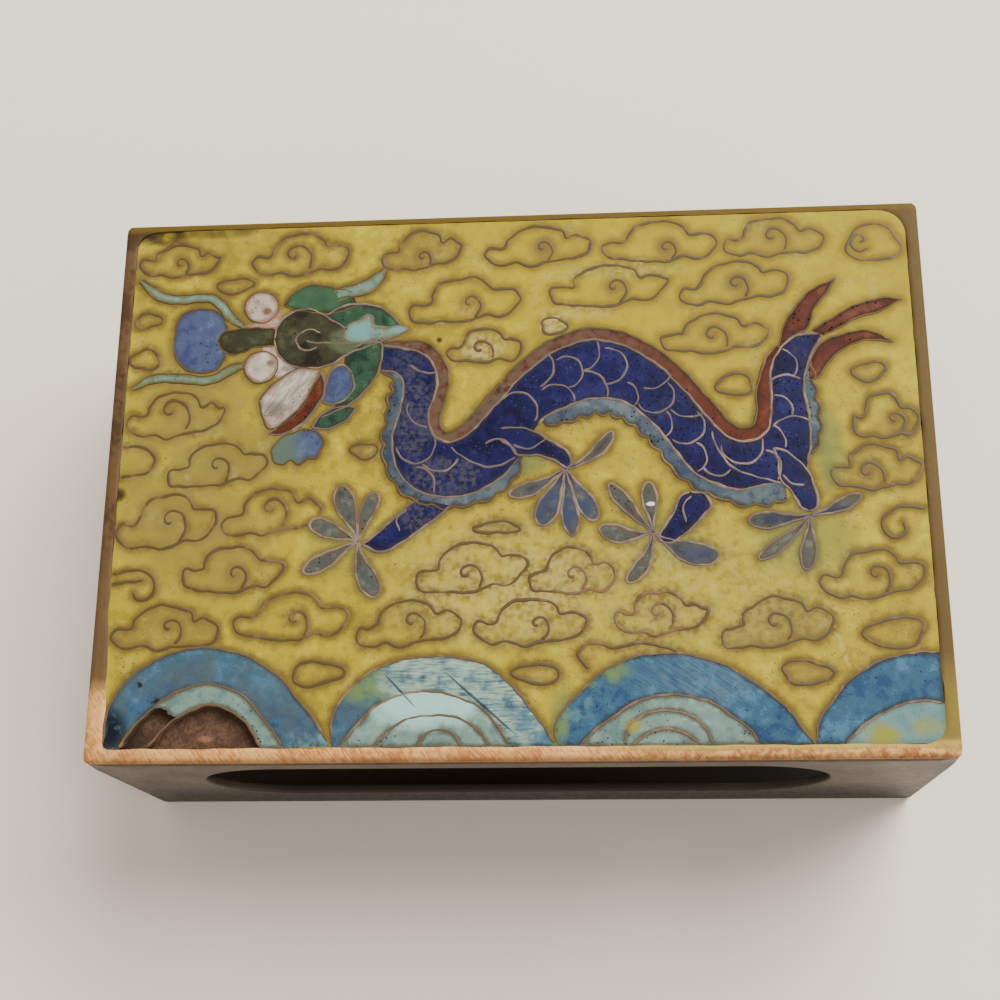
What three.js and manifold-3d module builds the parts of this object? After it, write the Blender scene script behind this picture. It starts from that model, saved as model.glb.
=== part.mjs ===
// Cloisonne matchbox cover: a sleeve of copper-alloy sheet, open at both ends so that a matchbox
// slides in, with a long window in each side that bares the striking strip. The top carries a
// shallow tray, and coloured enamels fill it flush: a dragon and its pearl, waves and a yellow sky.
// Millimetres, +Z up, +X along the sleeve, origin at the middle of the underside.

import * as THREE from "three";
import { mergeVertices } from "three/addons/utils/BufferGeometryUtils.js";
import Module from "manifold-3d";

const wasm = await Module();
wasm.setup();

// Sleeve
const LENGTH = 60;
const WIDTH = 41.5;
const HEIGHT = 21;
const SHEET = 0.6;
const FOLD_RADIUS = 0.6;
const CORNER_RADIUS = 0.8;

// Window in each long side, a slot with round ends, sawn nearer the top and a little off the middle
const WINDOW_LENGTH = 45.4;
const WINDOW_HEIGHT = 12.2;
const WINDOW_SHIFT = -0.5;
const WINDOW_MIDDLE = 12.1;

// Tray on the top face: how deep it is, and the rim left around it
const TRAY_DEPTH = 0.8;
const RIM_SIDE = 1;
const RIM_FRONT = 1.05;
const RIM_BACK = 0.6;
const TRAY_CORNER = { frontLeft: 0.5, frontRight: 1.4, backRight: 2, backLeft: 1.5 };

// Enamel: how far its polished face lies under the rim, the room around it, and the groove
// between two colours, which is as wide as the wire that stands in it
const ENAMEL_BELOW_RIM = 0.05;
const FIT_GAP = 0.02;
const WIRE = 0.25;

// Dragon: half widths of the crest and of the belly strip, whose outer hem is scalloped
const CREST_HALF_WIDTH = 0.5;
const BELLY_HALF_WIDTH = 0.5;
const SCALLOP_DEPTH = 0.2;
const SCALLOP_PITCH = 1.4;

const FLOOR_Z = HEIGHT - TRAY_DEPTH;
const ENAMEL_BOTTOM = FLOOR_Z + FIT_GAP;
const ENAMEL_TOP = HEIGHT - ENAMEL_BELOW_RIM;
const TRAY = {
  left: -LENGTH / 2 + RIM_SIDE,
  right: LENGTH / 2 - RIM_SIDE,
  front: -WIDTH / 2 + RIM_FRONT,
  back: WIDTH / 2 - RIM_BACK,
};

// Solids

function solidFromGeometry(geometry) {
  geometry.deleteAttribute("normal");
  geometry.deleteAttribute("uv");
  const merged = mergeVertices(geometry, 1e-4);
  return new wasm.Manifold(
    new wasm.Mesh({
      numProp: 3,
      vertProperties: merged.attributes.position.array,
      triVerts: new Uint32Array(merged.index.array),
    }),
  );
}

function geometryFromSolid(solid) {
  const mesh = solid.getMesh();
  const geometry = new THREE.BufferGeometry();
  geometry.setAttribute("position", new THREE.BufferAttribute(mesh.vertProperties, 3));
  geometry.setIndex(new THREE.BufferAttribute(mesh.triVerts, 1));
  geometry.computeVertexNormals();
  return geometry;
}

// An outline in plan, stood up between two heights.
function prism(outline, bottom, top) {
  const shape = new THREE.Shape(outline);
  const geometry = new THREE.ExtrudeGeometry(shape, { depth: top - bottom, bevelEnabled: false });
  geometry.translate(0, 0, bottom);
  return solidFromGeometry(geometry);
}

function union(solids) {
  return solids.reduce((sum, solid) => sum.add(solid));
}

function largestBody(solid) {
  const bodies = solid.decompose();
  return bodies.reduce((best, body) => (body.volume() > best.volume() ? body : best));
}

// Outlines in plan. Each is a function of one number, how far the outline is grown: 0 gives the
// enamel itself, and the width of a wire gives the room that the enamel and its wire take.

const ARC_STEPS = 6;

function roundedRectangle(box, radii) {
  const corners = [
    [box.left, box.front, radii.frontLeft, 1, 1, 180],
    [box.right, box.front, radii.frontRight, -1, 1, 270],
    [box.right, box.back, radii.backRight, -1, -1, 0],
    [box.left, box.back, radii.backLeft, 1, -1, 90],
  ];
  return corners.flatMap(([x, y, radius, inwardX, inwardY, start]) =>
    Array.from({ length: ARC_STEPS + 1 }, (_, step) => {
      const angle = THREE.MathUtils.degToRad(start + (90 * step) / ARC_STEPS);
      return new THREE.Vector2(
        x + inwardX * radius + radius * Math.cos(angle),
        y + inwardY * radius + radius * Math.sin(angle),
      );
    }),
  );
}

function evenCorners(radius) {
  return { frontLeft: radius, frontRight: radius, backRight: radius, backLeft: radius };
}

function disc(x, y, radius, steps) {
  return (grown) =>
    Array.from({ length: steps }, (_, step) => {
      const angle = (2 * Math.PI * step) / steps;
      const reach = radius + grown;
      return new THREE.Vector2(x + reach * Math.cos(angle), y + reach * Math.sin(angle));
    });
}

function oval(x, y, halfLength, halfWidth, degrees = 0, steps = 14) {
  const turn = THREE.MathUtils.degToRad(degrees);
  return (grown) =>
    disc(0, 0, 1, steps)(0).map((p) =>
      new THREE.Vector2(p.x * (halfLength + grown), p.y * (halfWidth + grown))
        .rotateAround(new THREE.Vector2(), turn)
        .add(new THREE.Vector2(x, y)),
    );
}

// A line drawn through a few points, each with its half width in third place.
function spine(points, steps) {
  const curve = new THREE.CatmullRomCurve3(
    points.map(([x, y, halfWidth]) => new THREE.Vector3(x, y, halfWidth)),
    false,
    "centripetal",
  );
  return Array.from({ length: steps + 1 }, (_, step) => {
    const share = step / steps;
    const at = curve.getPoint(share);
    const along = curve.getTangent(share).setZ(0).normalize();
    const left = new THREE.Vector2(-along.y, along.x);
    return { share, x: at.x, y: at.y, halfWidth: at.z, along, left };
  });
}

// The band beside a spine from one offset to another, both measured to the left of the way it runs.
function band(line, nearOffset, farOffset) {
  return (grown) => {
    const last = line.length - 1;
    const side = (offset, sign) =>
      line.map((station, index) => {
        const past = index === 0 ? -grown : index === last ? grown : 0;
        const reach = offset(station) + sign * grown;
        return new THREE.Vector2(
          station.x + station.left.x * reach + station.along.x * past,
          station.y + station.left.y * reach + station.along.y * past,
        );
      });
    return [...side(nearOffset, -1), ...side(farOffset, 1).reverse()];
  };
}

function strip(points, steps = 10) {
  return band(
    spine(points, steps),
    (station) => -station.halfWidth,
    (station) => station.halfWidth,
  );
}

// A claw: a narrow root, widest at two thirds of its length, and a round tip. The bend is how far
// its middle lies to the left of the straight way, as a share of its length.
const CLAW_STEPS = 7;
const CLAW_ROOT = 0.12;
const CLAW_WIDEST = 0.66;
const CLAW_TIP = 0.15;

function claw([rootX, rootY], [tipX, tipY, width, bend = 0]) {
  const halfWidth = (share) => {
    if (share < CLAW_WIDEST) {
      return THREE.MathUtils.lerp(CLAW_ROOT, width / 2, THREE.MathUtils.smoothstep(share, 0, CLAW_WIDEST));
    }
    const past = (share - CLAW_WIDEST) / (1 - CLAW_WIDEST);
    return (width / 2) * Math.max(CLAW_TIP, Math.sqrt(1 - past * past));
  };
  const points = Array.from({ length: CLAW_STEPS + 1 }, (_, step) => {
    const share = Math.sin((Math.PI / 2) * (step / CLAW_STEPS));
    const aside = bend * Math.sin(Math.PI * share);
    return [
      THREE.MathUtils.lerp(rootX, tipX, share) - aside * (tipY - rootY),
      THREE.MathUtils.lerp(rootY, tipY, share) + aside * (tipX - rootX),
      halfWidth(share),
    ];
  });
  return strip(points, CLAW_STEPS);
}

// Enamel colours

const finish = { roughness: 0.35, metalness: 0 };
const enamel = {
  yellow: new THREE.MeshStandardMaterial({ color: 0xbfb040, ...finish }),
  navy: new THREE.MeshStandardMaterial({ color: 0x2c2f6b, ...finish }),
  paleBlue: new THREE.MeshStandardMaterial({ color: 0x5f7f97, ...finish }),
  blue: new THREE.MeshStandardMaterial({ color: 0x4a64a0, ...finish }),
  red: new THREE.MeshStandardMaterial({ color: 0x8f4238, ...finish }),
  green: new THREE.MeshStandardMaterial({ color: 0x3d7452, ...finish }),
  olive: new THREE.MeshStandardMaterial({ color: 0x4b4a30, ...finish }),
  turquoise: new THREE.MeshStandardMaterial({ color: 0x79b0a8, ...finish }),
  white: new THREE.MeshStandardMaterial({ color: 0xc4b5ac, ...finish }),
  waveBlue: new THREE.MeshStandardMaterial({ color: 0x3f7394, ...finish }),
};
const copper = new THREE.MeshStandardMaterial({ color: 0x9a7350, roughness: 0.45, metalness: 1 });

// The picture, in plan. Cells are listed front to back: an earlier cell cuts into a later one.

const cells = [];

function cell(name, material, ...outlines) {
  cells.push({ name, material, outlines });
}

// Head, turned to the left, with the pearl before it
cell("snout", enamel.olive, oval(-20.2, 10.85, 2, 0.72));
cell("eye_upper", enamel.white, oval(-19.1, 13.7, 1.25, 1.15));
cell("eye_lower", enamel.white, oval(-19.1, 8.6, 1.2, 1.2));
cell("skull", enamel.olive, claw([-10.8, 10.7], [-18, 11.1, 4.6]));
cell("tongue", enamel.blue, oval(-13.05, 7.45, 0.9, 1.35, -8));
cell("mouth", enamel.white, oval(-16.8, 7, 2.3, 0.95, 36));
cell("beard", enamel.blue, oval(-15.9, 2.4, 1.8, 1.15, 10));
cell("pearl", enamel.blue, oval(-23.5, 11, 2.05, 2.6));
const headStrips = [
  ["horn", enamel.turquoise, [-13, 14.8, 0.3], [-11.6, 15, 0.6], [-10.6, 15.5, 0.5], [-9.9, 16.3, 0.2]],
  ["ear", enamel.turquoise, [-12.6, 11.6, 0.3], [-11.2, 11.8, 0.7], [-9.6, 11.6, 0.45], [-8, 11.5, 0.2]],
  ["brow", enamel.green, [-17.4, 14, 0.2], [-15.6, 14.5, 0.75], [-13.6, 14.4, 0.75], [-11.4, 13.9, 0.2]],
  ["temple", enamel.green, [-14, 13, 0.2], [-12.2, 13.1, 0.45], [-10.6, 12.8, 0.45], [-9.3, 12.2, 0.2]],
  ["lip", enamel.red, [-18, 3.5, 0.2], [-16.6, 4.6, 0.5], [-15.3, 6.2, 0.6], [-14.3, 7.8, 0.3]],
  ["cheek", enamel.green, [-10.9, 10.3, 0.5], [-10.9, 8.6, 0.8], [-11.7, 6.8, 0.5], [-13.4, 5.8, 0.2]],
  ["chin", enamel.green, [-14.7, 4.2, 0.2], [-13.7, 4.6, 0.5], [-12.6, 5, 0.5], [-11.6, 5.6, 0.2]],
  ["muzzle_upper", enamel.white, [-21.2, 11.9, 0.3], [-19.6, 12.2, 0.4], [-17.6, 12.8, 0.5]],
  ["muzzle_lower", enamel.white, [-21.3, 9.6, 0.3], [-19.6, 9.8, 0.4], [-17.2, 9, 0.5]],
  [
    "whisker_upper", enamel.turquoise,
    [-28.2, 15.9, 0.15], [-27.2, 15, 0.32], [-24.8, 14.4, 0.38], [-22.6, 14.2, 0.4], [-20.4, 12.4, 0.25],
  ],
  [
    "whisker_lower", enamel.turquoise,
    [-28.2, 7.5, 0.15], [-27.2, 7.9, 0.35], [-25.4, 8, 0.35], [-23.4, 7.6, 0.35], [-20.6, 8.5, 0.3],
  ],
];
headStrips.forEach(([name, material, ...points]) => {
  cell(name, material, strip(points, 2 * points.length + 1));
});

// Four legs, each with the claws that spread from its ankle
const legs = [
  {
    leg: [[-5.4, -2.6, 0.6], [-6.9, -3.2, 0.9], [-8.3, -4.1, 0.85], [-9.6, -5.1, 0.6], [-10.7, -5.25, 0.2]],
    ankle: [-11.3, -4.8],
    claws: [
      [-12.7, -0.8, 1.3], [-10, -1.4, 1.1], [-14.7, -3.5, 1.2],
      [-15, -7.2, 1.15], [-9.7, -9, 1.3, -0.08],
    ],
  },
  {
    leg: [[-0.4, 3, 0.45], [1.2, 2.6, 0.75], [2.6, 1.8, 0.75], [3.7, 0.8, 0.25]],
    ankle: [3.8, 0.1],
    claws: [[7.1, 3, 0.8, -0.1], [-0.4, -1.7, 0.9], [1.8, -4, 1.3], [4.1, -4.8, 1.1], [5.8, -3.7, 1.1]],
  },
  {
    leg: [[12.7, -2.1, 0.7], [12.5, -2.9, 1.1], [11.6, -4.1, 0.8], [10.5, -5, 0.2]],
    ankle: [9.9, -4.7],
    claws: [
      [6.9, -1, 0.95], [9.6, -0.9, 0.95], [6.4, -4.3, 0.95, 0.12],
      [8.1, -8.3, 0.85], [14.3, -6.4, 1.25, -0.12],
    ],
  },
  {
    leg: [[19.6, 0.6, 0.75], [20.4, -0.7, 0.75], [20.7, -1.9, 0.5], [20.9, -2.8, 0.25]],
    ankle: [20.9, -3.5],
    claws: [[24.2, -2.3, 0.8, -0.06], [16.6, -4, 0.9], [17.2, -6.5, 0.85], [20.4, -7.5, 0.95]],
  },
];
legs.forEach(({ leg, ankle, claws }, index) => {
  cell(`leg_${index + 1}`, enamel.navy, strip(leg, 8));
  cell(`claws_${index + 1}`, enamel.paleBlue, ...claws.map((tip) => claw(ankle, tip)));
});

// Body from the neck to the tip of the tail
const body = [
  [-8.2, 9.5, 1.7], [-8, 8.6, 1.55], [-7.2, 7, 1.25], [-7.35, 5.2, 1.1], [-7.3, 3, 1.5],
  [-6.3, 1, 2.05], [-4.3, 0.55, 2.15], [-2.3, 1.7, 2.2], [-0.1, 3.9, 2.15], [2.4, 6.3, 2.2],
  [5.6, 7.95, 2.25], [8.6, 7.2, 2.15], [10.9, 5.1, 2.15], [13, 2.3, 2.1], [15.3, 0.55, 1.8],
  [17.9, 0.75, 1.75], [19.5, 2.6, 1.5], [19.85, 5, 1.25], [19.8, 7.2, 1.1], [20.5, 9, 0.95],
  [21.9, 10.3, 0.3],
];
cell("body", enamel.navy, strip(body, 50));

// Crest along the back, and the belly in three lengths, parted by the legs
const crest = [
  [-9.3, 10.5], [-8, 10.45], [-6.6, 10.1], [-5.7, 9.1], [-5.3, 7], [-5.8, 5.3], [-5.8, 4],
  [-4.9, 3.1], [-3.7, 3.2], [-2.3, 4.4], [-0.7, 6.1], [1, 7.9], [3.2, 9.8], [6, 10.7], [7.8, 10.1],
  [9.9, 8.9], [12, 7.2], [14.1, 4.7], [16, 3], [17.3, 3.2], [18, 5], [18.2, 8.2],
];
cell("crest", enamel.red, strip(crest.map(([x, y]) => [x, y, CREST_HALF_WIDTH]), 50));

function scalloped(points, scallops) {
  const hem = (station) => SCALLOP_DEPTH * Math.abs(Math.sin(Math.PI * station.share * scallops));
  return band(
    spine(points.map(([x, y]) => [x, y, BELLY_HALF_WIDTH]), 3 * scallops),
    (station) => -station.halfWidth - hem(station),
    (station) => station.halfWidth,
  );
}

const bellies = {
  chest: [
    [-9.6, 8], [-9, 7], [-8.9, 5.6], [-9.3, 3.2], [-9.3, 1], [-8.6, -0.7], [-7.3, -1.8],
    [-5.4, -2.2], [-3.2, -2], [-1.2, -1.2], [0.6, 0], [2.4, 0.5],
  ],
  arch: [
    [2, 3.2], [3.8, 4.4], [5.8, 5], [7.8, 4.7], [9.4, 3.7], [10.6, 2.3], [11.7, 0.5], [12.9, -1.1],
    [14.6, -1.9], [16.6, -2], [19.2, -2.2],
  ],
  tail: [[21.5, -0.6], [21.6, 1.2], [21.7, 3], [21.6, 5], [21.5, 6.8]],
};
Object.entries(bellies).forEach(([place, points]) => {
  const length = new THREE.SplineCurve(points.map(([x, y]) => new THREE.Vector2(x, y))).getLength();
  cell(`belly_${place}`, enamel.paleBlue, scalloped(points, Math.round(length / SCALLOP_PITCH)));
});

// Flames at the end of the tail
const flames = [
  [[20.6, 10, 0.8], [21.1, 11.4, 0.75], [22.2, 13, 0.5], [23.6, 14.5, 0.2]],
  [[22.3, 10.6, 0.55], [24, 11.4, 0.6], [25.9, 12.2, 0.5], [28.2, 12.7, 0.2]],
  [[21.3, 6.9, 0.45], [22, 8.6, 0.7], [23.6, 9.5, 0.6], [25.4, 9.8, 0.5], [27.3, 9.5, 0.25]],
];
flames.forEach((points, index) => cell(`tail_flame_${index + 1}`, enamel.red, strip(points)));

// Waves along the front: round hills of nested bands, from the innermost disc out. The enamel at
// the heart of the first wave is lost, and the bare tray shows there.
const WAVE_STEPS = 42;
const waves = [
  { lost: [[-21.3, -20.5, 3.8]], bands: { middle: [-21.3, -20.6, 5.35], outer: [-21.1, -20.4, 7.75] } },
  {
    lost: [],
    bands: {
      core: [-5.3, -20.2, 1.8],
      inner: [-5.6, -22.4, 4.9],
      middle: [-5.8, -21.4, 5.6],
      outer: [-5.2, -21.5, 8.2],
    },
  },
  {
    lost: [],
    bands: {
      core: [10.2, -20.6, 2],
      inner: [10.4, -20.6, 3.3],
      middle: [10.7, -22.9, 6.8],
      outer: [11.3, -22.7, 9.3],
    },
  },
  { lost: [], bands: { inner: [28.6, -22.4, 5.6], outer: [28.6, -21.6, 8.3] } },
];
waves.forEach(({ lost, bands }, index) => {
  lost.forEach((circle) => cell(null, null, disc(...circle, WAVE_STEPS)));
  Object.entries(bands).forEach(([place, circle]) => {
    const paint = place === "outer" ? enamel.waveBlue : enamel.turquoise;
    cell(`wave_${index + 1}_${place}`, paint, disc(...circle, WAVE_STEPS));
  });
});

// Assembly

const cover = new THREE.Group();
cover.name = "cloisonne_matchbox_cover";

function place(name, solid, material) {
  const mesh = new THREE.Mesh(geometryFromSolid(solid), material.clone());
  mesh.name = name;
  cover.add(mesh);
}

// The sleeve: a folded tube, rounded where its corners show in plan, with the windows and the tray cut out.
function sleeve() {
  const outside = { left: -WIDTH / 2, right: WIDTH / 2, front: 0, back: HEIGHT };
  const inside = {
    left: outside.left + SHEET,
    right: outside.right - SHEET,
    front: SHEET,
    back: FLOOR_Z - SHEET,
  };
  const section = new THREE.Shape(roundedRectangle(outside, evenCorners(FOLD_RADIUS)));
  section.holes.push(new THREE.Path(roundedRectangle(inside, evenCorners(FOLD_RADIUS / 2))));
  const tubeGeometry = new THREE.ExtrudeGeometry(section, { depth: LENGTH, bevelEnabled: false });
  tubeGeometry.translate(0, 0, -LENGTH / 2);
  const acrossToY = new THREE.Matrix4().makeBasis(
    new THREE.Vector3(0, 1, 0),
    new THREE.Vector3(0, 0, 1),
    new THREE.Vector3(1, 0, 0),
  );
  const tube = solidFromGeometry(tubeGeometry.applyMatrix4(acrossToY));

  const plan = { left: -LENGTH / 2, right: LENGTH / 2, front: -WIDTH / 2, back: WIDTH / 2 };
  const block = prism(roundedRectangle(plan, evenCorners(CORNER_RADIUS)), -1, HEIGHT + 1);

  const slot = {
    left: WINDOW_SHIFT - WINDOW_LENGTH / 2,
    right: WINDOW_SHIFT + WINDOW_LENGTH / 2,
    front: -WINDOW_HEIGHT / 2,
    back: WINDOW_HEIGHT / 2,
  };
  const slotShape = new THREE.Shape(roundedRectangle(slot, evenCorners(WINDOW_HEIGHT / 2)));
  const slotGeometry = new THREE.ExtrudeGeometry(slotShape, { depth: 2 * WIDTH, bevelEnabled: false });
  slotGeometry.translate(0, 0, -WIDTH);
  slotGeometry.rotateX(Math.PI / 2);
  slotGeometry.translate(0, 0, WINDOW_MIDDLE);
  const windows = solidFromGeometry(slotGeometry);

  const tray = prism(roundedRectangle(TRAY, TRAY_CORNER), FLOOR_Z, HEIGHT + 1);
  return tube.intersect(block).subtract(windows).subtract(tray);
}

place("sleeve", sleeve(), copper);

// Enamels: each cell is what is left of its outline beside the cells before it, and the sky fills
// the rest.
const inset = {
  left: TRAY.left + FIT_GAP,
  right: TRAY.right - FIT_GAP,
  front: TRAY.front + FIT_GAP,
  back: TRAY.back - FIT_GAP,
};
const field = prism(roundedRectangle(inset, TRAY_CORNER), ENAMEL_BOTTOM, ENAMEL_TOP);
let unfilled = field;
for (const { name, material, outlines } of cells) {
  const drawn = (grown) =>
    union(outlines.map((outline) => prism(outline(grown), FLOOR_Z - 1, HEIGHT + 1)));
  if (name) place(name, largestBody(unfilled.intersect(drawn(0))), material);
  unfilled = unfilled.subtract(drawn(WIRE));
}
place("sky", largestBody(unfilled), enamel.yellow);

export default cover;
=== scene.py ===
"""A matchbox cover of folded copper alloy with a cloisonne picture of a dragon over waves on its top.

Lists of places and sizes are in millimetres in the part's own frame. Meshes are in metres.
"""

import bmesh
import bpy
import numpy as np
from mathutils import Matrix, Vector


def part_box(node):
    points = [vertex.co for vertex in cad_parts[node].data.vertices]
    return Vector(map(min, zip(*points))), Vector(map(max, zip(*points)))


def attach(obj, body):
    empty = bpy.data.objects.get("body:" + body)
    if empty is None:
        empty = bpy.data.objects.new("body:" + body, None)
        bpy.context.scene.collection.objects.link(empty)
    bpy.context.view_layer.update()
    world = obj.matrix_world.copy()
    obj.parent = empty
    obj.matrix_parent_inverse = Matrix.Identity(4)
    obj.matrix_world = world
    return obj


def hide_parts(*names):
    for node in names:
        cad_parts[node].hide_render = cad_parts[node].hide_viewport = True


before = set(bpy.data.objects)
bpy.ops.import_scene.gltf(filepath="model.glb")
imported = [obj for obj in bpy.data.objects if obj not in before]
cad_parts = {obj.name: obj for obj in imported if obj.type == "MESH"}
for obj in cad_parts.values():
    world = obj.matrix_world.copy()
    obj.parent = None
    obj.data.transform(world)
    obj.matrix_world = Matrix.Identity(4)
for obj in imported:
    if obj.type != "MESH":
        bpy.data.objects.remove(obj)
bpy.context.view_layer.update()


# Sleeve
# Copper-alloy sheet folded and soldered into a flat tube, open at both short ends, with a long slot sawn
# in each long side. Its top is sunk into a tray whose rim was filed flush by hand and is worn bright, with a
# highlight also painted into the bright front.

MM = 0.001
TINY = 1e-9
HALF_LENGTH, HALF_WIDTH, HEIGHT = np.array(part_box("sleeve")[1]) / MM
SHEET = 0.6
INNER_WIDTH = HALF_WIDTH - SHEET
EDGE_RADIUS = 0.35
# Corners in plan are rounder over the last stretch below the top.
PLAN_RADIUS = 0.75
PLAN_STRETCH = 3
SLOT_SHIFT = -0.5
SLOT_HALF_LENGTH = 22.7
SLOT_HALF_HEIGHT = 6.1
SLOT_MIDDLE = 12.1
# The slot's worn edge through the sheet: how far out from the slot, and how deep below the face.
SLOT_LIP = np.array([
    (0.16, 0), (0.08, 0.02), (0.02, 0.09), (0, 0.2), (0, 0.42), (0.03, 0.53), (0.09, 0.59), (0.16, 0.6),
])
TRAY_FLOOR = 20.2
TRAY_LOW = np.array([-29, -19.7])
TRAY_HIGH = np.array([29, 20.15])
TRAY_CORNERS = {(-1, -1): 0.5, (1, -1): 1.4, (1, 1): 2.0, (-1, 1): 1.5}
TRAY_CORE = 14
# Where the top edge of the tray is broken, how far below the rim it ends.
ARRIS = 0.04
# The rim is broader at the front left: from these places on, over these stretches.
BROAD_RIM = 0.35
BROAD_FROM = np.array([-27, -8])
BROAD_STRETCH = np.array([1.5, 8])
# Waves that the file left along the rim, in millimetres at a reach of 40 from the middle.
FILE_WAVES = [(0.05, 0.9, 0.4), (0.04, 2.3, 0)]
FILE_REACH = 40
# Rows of points as shares of the way across a face, or of the radius of an edge.
EDGE_ROWS = np.array([0, 0.12, 0.28, 0.5, 0.75, 1, 1.5])
RIM_ROWS = [0, 0.2, 0.4, 0.7, 0.95]
END_ROWS = [0, 0.15, 0.3, 0.5, 0.75, 1]
SIDE_ROWS = np.linspace(0, 1, 9) ** 1.5
TRAY_ROWS = np.linspace(0, 1, 40)
SLEEVE_PITCH = 0.5
# How finely points are told apart, and how sharply faces meet to keep a sharp edge.
POINTS_PER_MM = 5000
SHARP_ANGLE = np.radians(40)


def samples(first, last):
    """Places from first to last, closer together near both ends, where the edges are rounded."""
    near = EDGE_RADIUS * EDGE_ROWS
    middle = np.linspace(first + near[-1], last - near[-1], int((last - first) / SLEEVE_PITCH))
    return np.concatenate([first + near[:-1], middle, last - near[-2::-1]])


def ring(across, up):
    """Once round the edge of a rectangle of samples: along the bottom, up, back along the top and down."""
    corners = [(across, up[:1]), (across[-1:], up), (across[::-1], up[-1:]), (across[:1], up[::-1])]
    sides = [np.stack(np.broadcast_arrays(a, b), axis=1) for a, b in corners]
    return np.concatenate([sides[0][:-1], sides[1][:-1], sides[2][:-1], sides[3]])


def rectangle(across, up):
    """A grid of points from samples along two axes."""
    return np.stack(np.meshgrid(across, up, indexing="ij"), axis=-1)


def between(inner, outer, shares):
    """Rows of points at each share of the straight way from one loop to another."""
    return inner + (outer - inner) * np.asarray(shares)[:, None, None]


def on_plane(flat, axis, place):
    """Points of two numbers set in space: axis 0, 1 or 2 gets the place, the others keep the numbers."""
    return np.insert(flat, axis, np.broadcast_to(place, flat.shape[:-1]), axis=-1)


def uneven(length, phase, waves):
    """The sum of sines along a length: each wave has its size, how fast it turns with the length, and how
    much of the phase it takes."""
    return sum(size * np.sin(rate * length + share * phase) for size, rate, share in waves)


def slot_ring(loop, out):
    """A loop drawn in to the slot: every point goes straight towards the slot's middle line, up to the
    slot's half height plus out from it."""
    straight = SLOT_HALF_LENGTH - SLOT_HALF_HEIGHT
    core_x = SLOT_SHIFT + np.clip(loop[:, 0] - SLOT_SHIFT, -straight, straight)
    core = np.stack([core_x, np.full(len(loop), SLOT_MIDDLE)], axis=1)
    away = loop - core
    return core + away / np.linalg.norm(away, axis=1, keepdims=True) * (SLOT_HALF_HEIGHT + out)


def rounded_tray(flat):
    """Points of the tray's plan with those outside a rounded corner drawn in to its arc."""
    flat = flat.copy()
    for (side, end), radius in TRAY_CORNERS.items():
        sign = np.array([side, end])
        centre = np.where(sign > 0, TRAY_HIGH, TRAY_LOW) - sign * radius
        away = (flat - centre) * sign
        reach = np.linalg.norm(away, axis=-1, keepdims=True)
        outside = (away > 0).all(axis=-1, keepdims=True) & (reach > radius)
        flat = np.where(outside, centre + sign * away * radius / np.maximum(reach, radius), flat)
    return flat


def worn_edges(points):
    """A sharp box's points on a box with rounded edges: each is drawn to the box shrunk by the edge radius
    and set out from it by that radius. Corners in plan are rounder towards the top."""
    middle = np.array([0, 0, HEIGHT / 2])
    half = np.array([HALF_LENGTH, HALF_WIDTH, HEIGHT / 2])
    core = np.clip(points - middle, EDGE_RADIUS - half, half - EDGE_RADIUS)
    away = points - middle - core
    reach = np.linalg.norm(away, axis=-1, keepdims=True)
    points = middle + core + away * EDGE_RADIUS / np.maximum(reach, TINY)
    share = np.clip((points[..., 2:] - HEIGHT + PLAN_STRETCH) / PLAN_STRETCH, 0, 1)
    radius = EDGE_RADIUS + (PLAN_RADIUS - EDGE_RADIUS) * share
    core = np.clip(points[..., :2], radius - half[:2], half[:2] - radius)
    away = points[..., :2] - core
    reach = np.linalg.norm(away, axis=-1, keepdims=True)
    plan = core + away * np.minimum(1, radius / np.maximum(reach, TINY))
    return np.concatenate([plan, points[..., 2:]], axis=-1)


def piece(name, patches, attributes=()):
    """An object from grids of points (rows, columns, x y z). Each grid is a sheet of quads, points that fall
    together become one, and the faces are turned outwards. Attributes are pairs of a name and one number for
    each of the first points."""
    points = np.concatenate([patch.reshape(-1, 3) for patch in patches])
    sizes = [patch.shape[0] * patch.shape[1] for patch in patches]
    starts = np.cumsum([0] + sizes[:-1])
    grids = [start + np.arange(n).reshape(p.shape[:2]) for start, n, p in zip(starts, sizes, patches)]
    quads = [np.stack([g[:-1, :-1], g[1:, :-1], g[1:, 1:], g[:-1, 1:]], axis=-1) for g in grids]
    quads = np.concatenate([quad.reshape(-1, 4) for quad in quads])
    keys = np.round(points * POINTS_PER_MM).astype(np.int64)
    _, first, same = np.unique(keys, axis=0, return_index=True, return_inverse=True)
    faces = same.reshape(-1)[quads]
    repeats = faces == np.roll(faces, 1, axis=1)
    whole = faces[~repeats.any(axis=1)]
    pinched = repeats.sum(axis=1) == 1
    thirds = faces[pinched][~repeats[pinched]].reshape(-1, 3)
    mesh = bpy.data.meshes.new(name)
    mesh.from_pydata(points[first] * MM, [], whole.tolist() + thirds.tolist())
    for attribute, numbers in attributes:
        padded = np.zeros(len(points), dtype=np.float32)
        padded[: numbers.size] = numbers.reshape(-1)
        mesh.attributes.new(attribute, "FLOAT", "POINT").data.foreach_set("value", padded[first])
    work = bmesh.new()
    work.from_mesh(mesh)
    bmesh.ops.recalc_face_normals(work, faces=work.faces)
    work.to_mesh(mesh)
    work.free()
    mesh.shade_smooth()
    mesh.set_sharp_from_angle(angle=SHARP_ANGLE)
    made = bpy.data.objects.new(name, mesh)
    bpy.context.scene.collection.objects.link(made)
    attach(made, "root")
    return made


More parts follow.
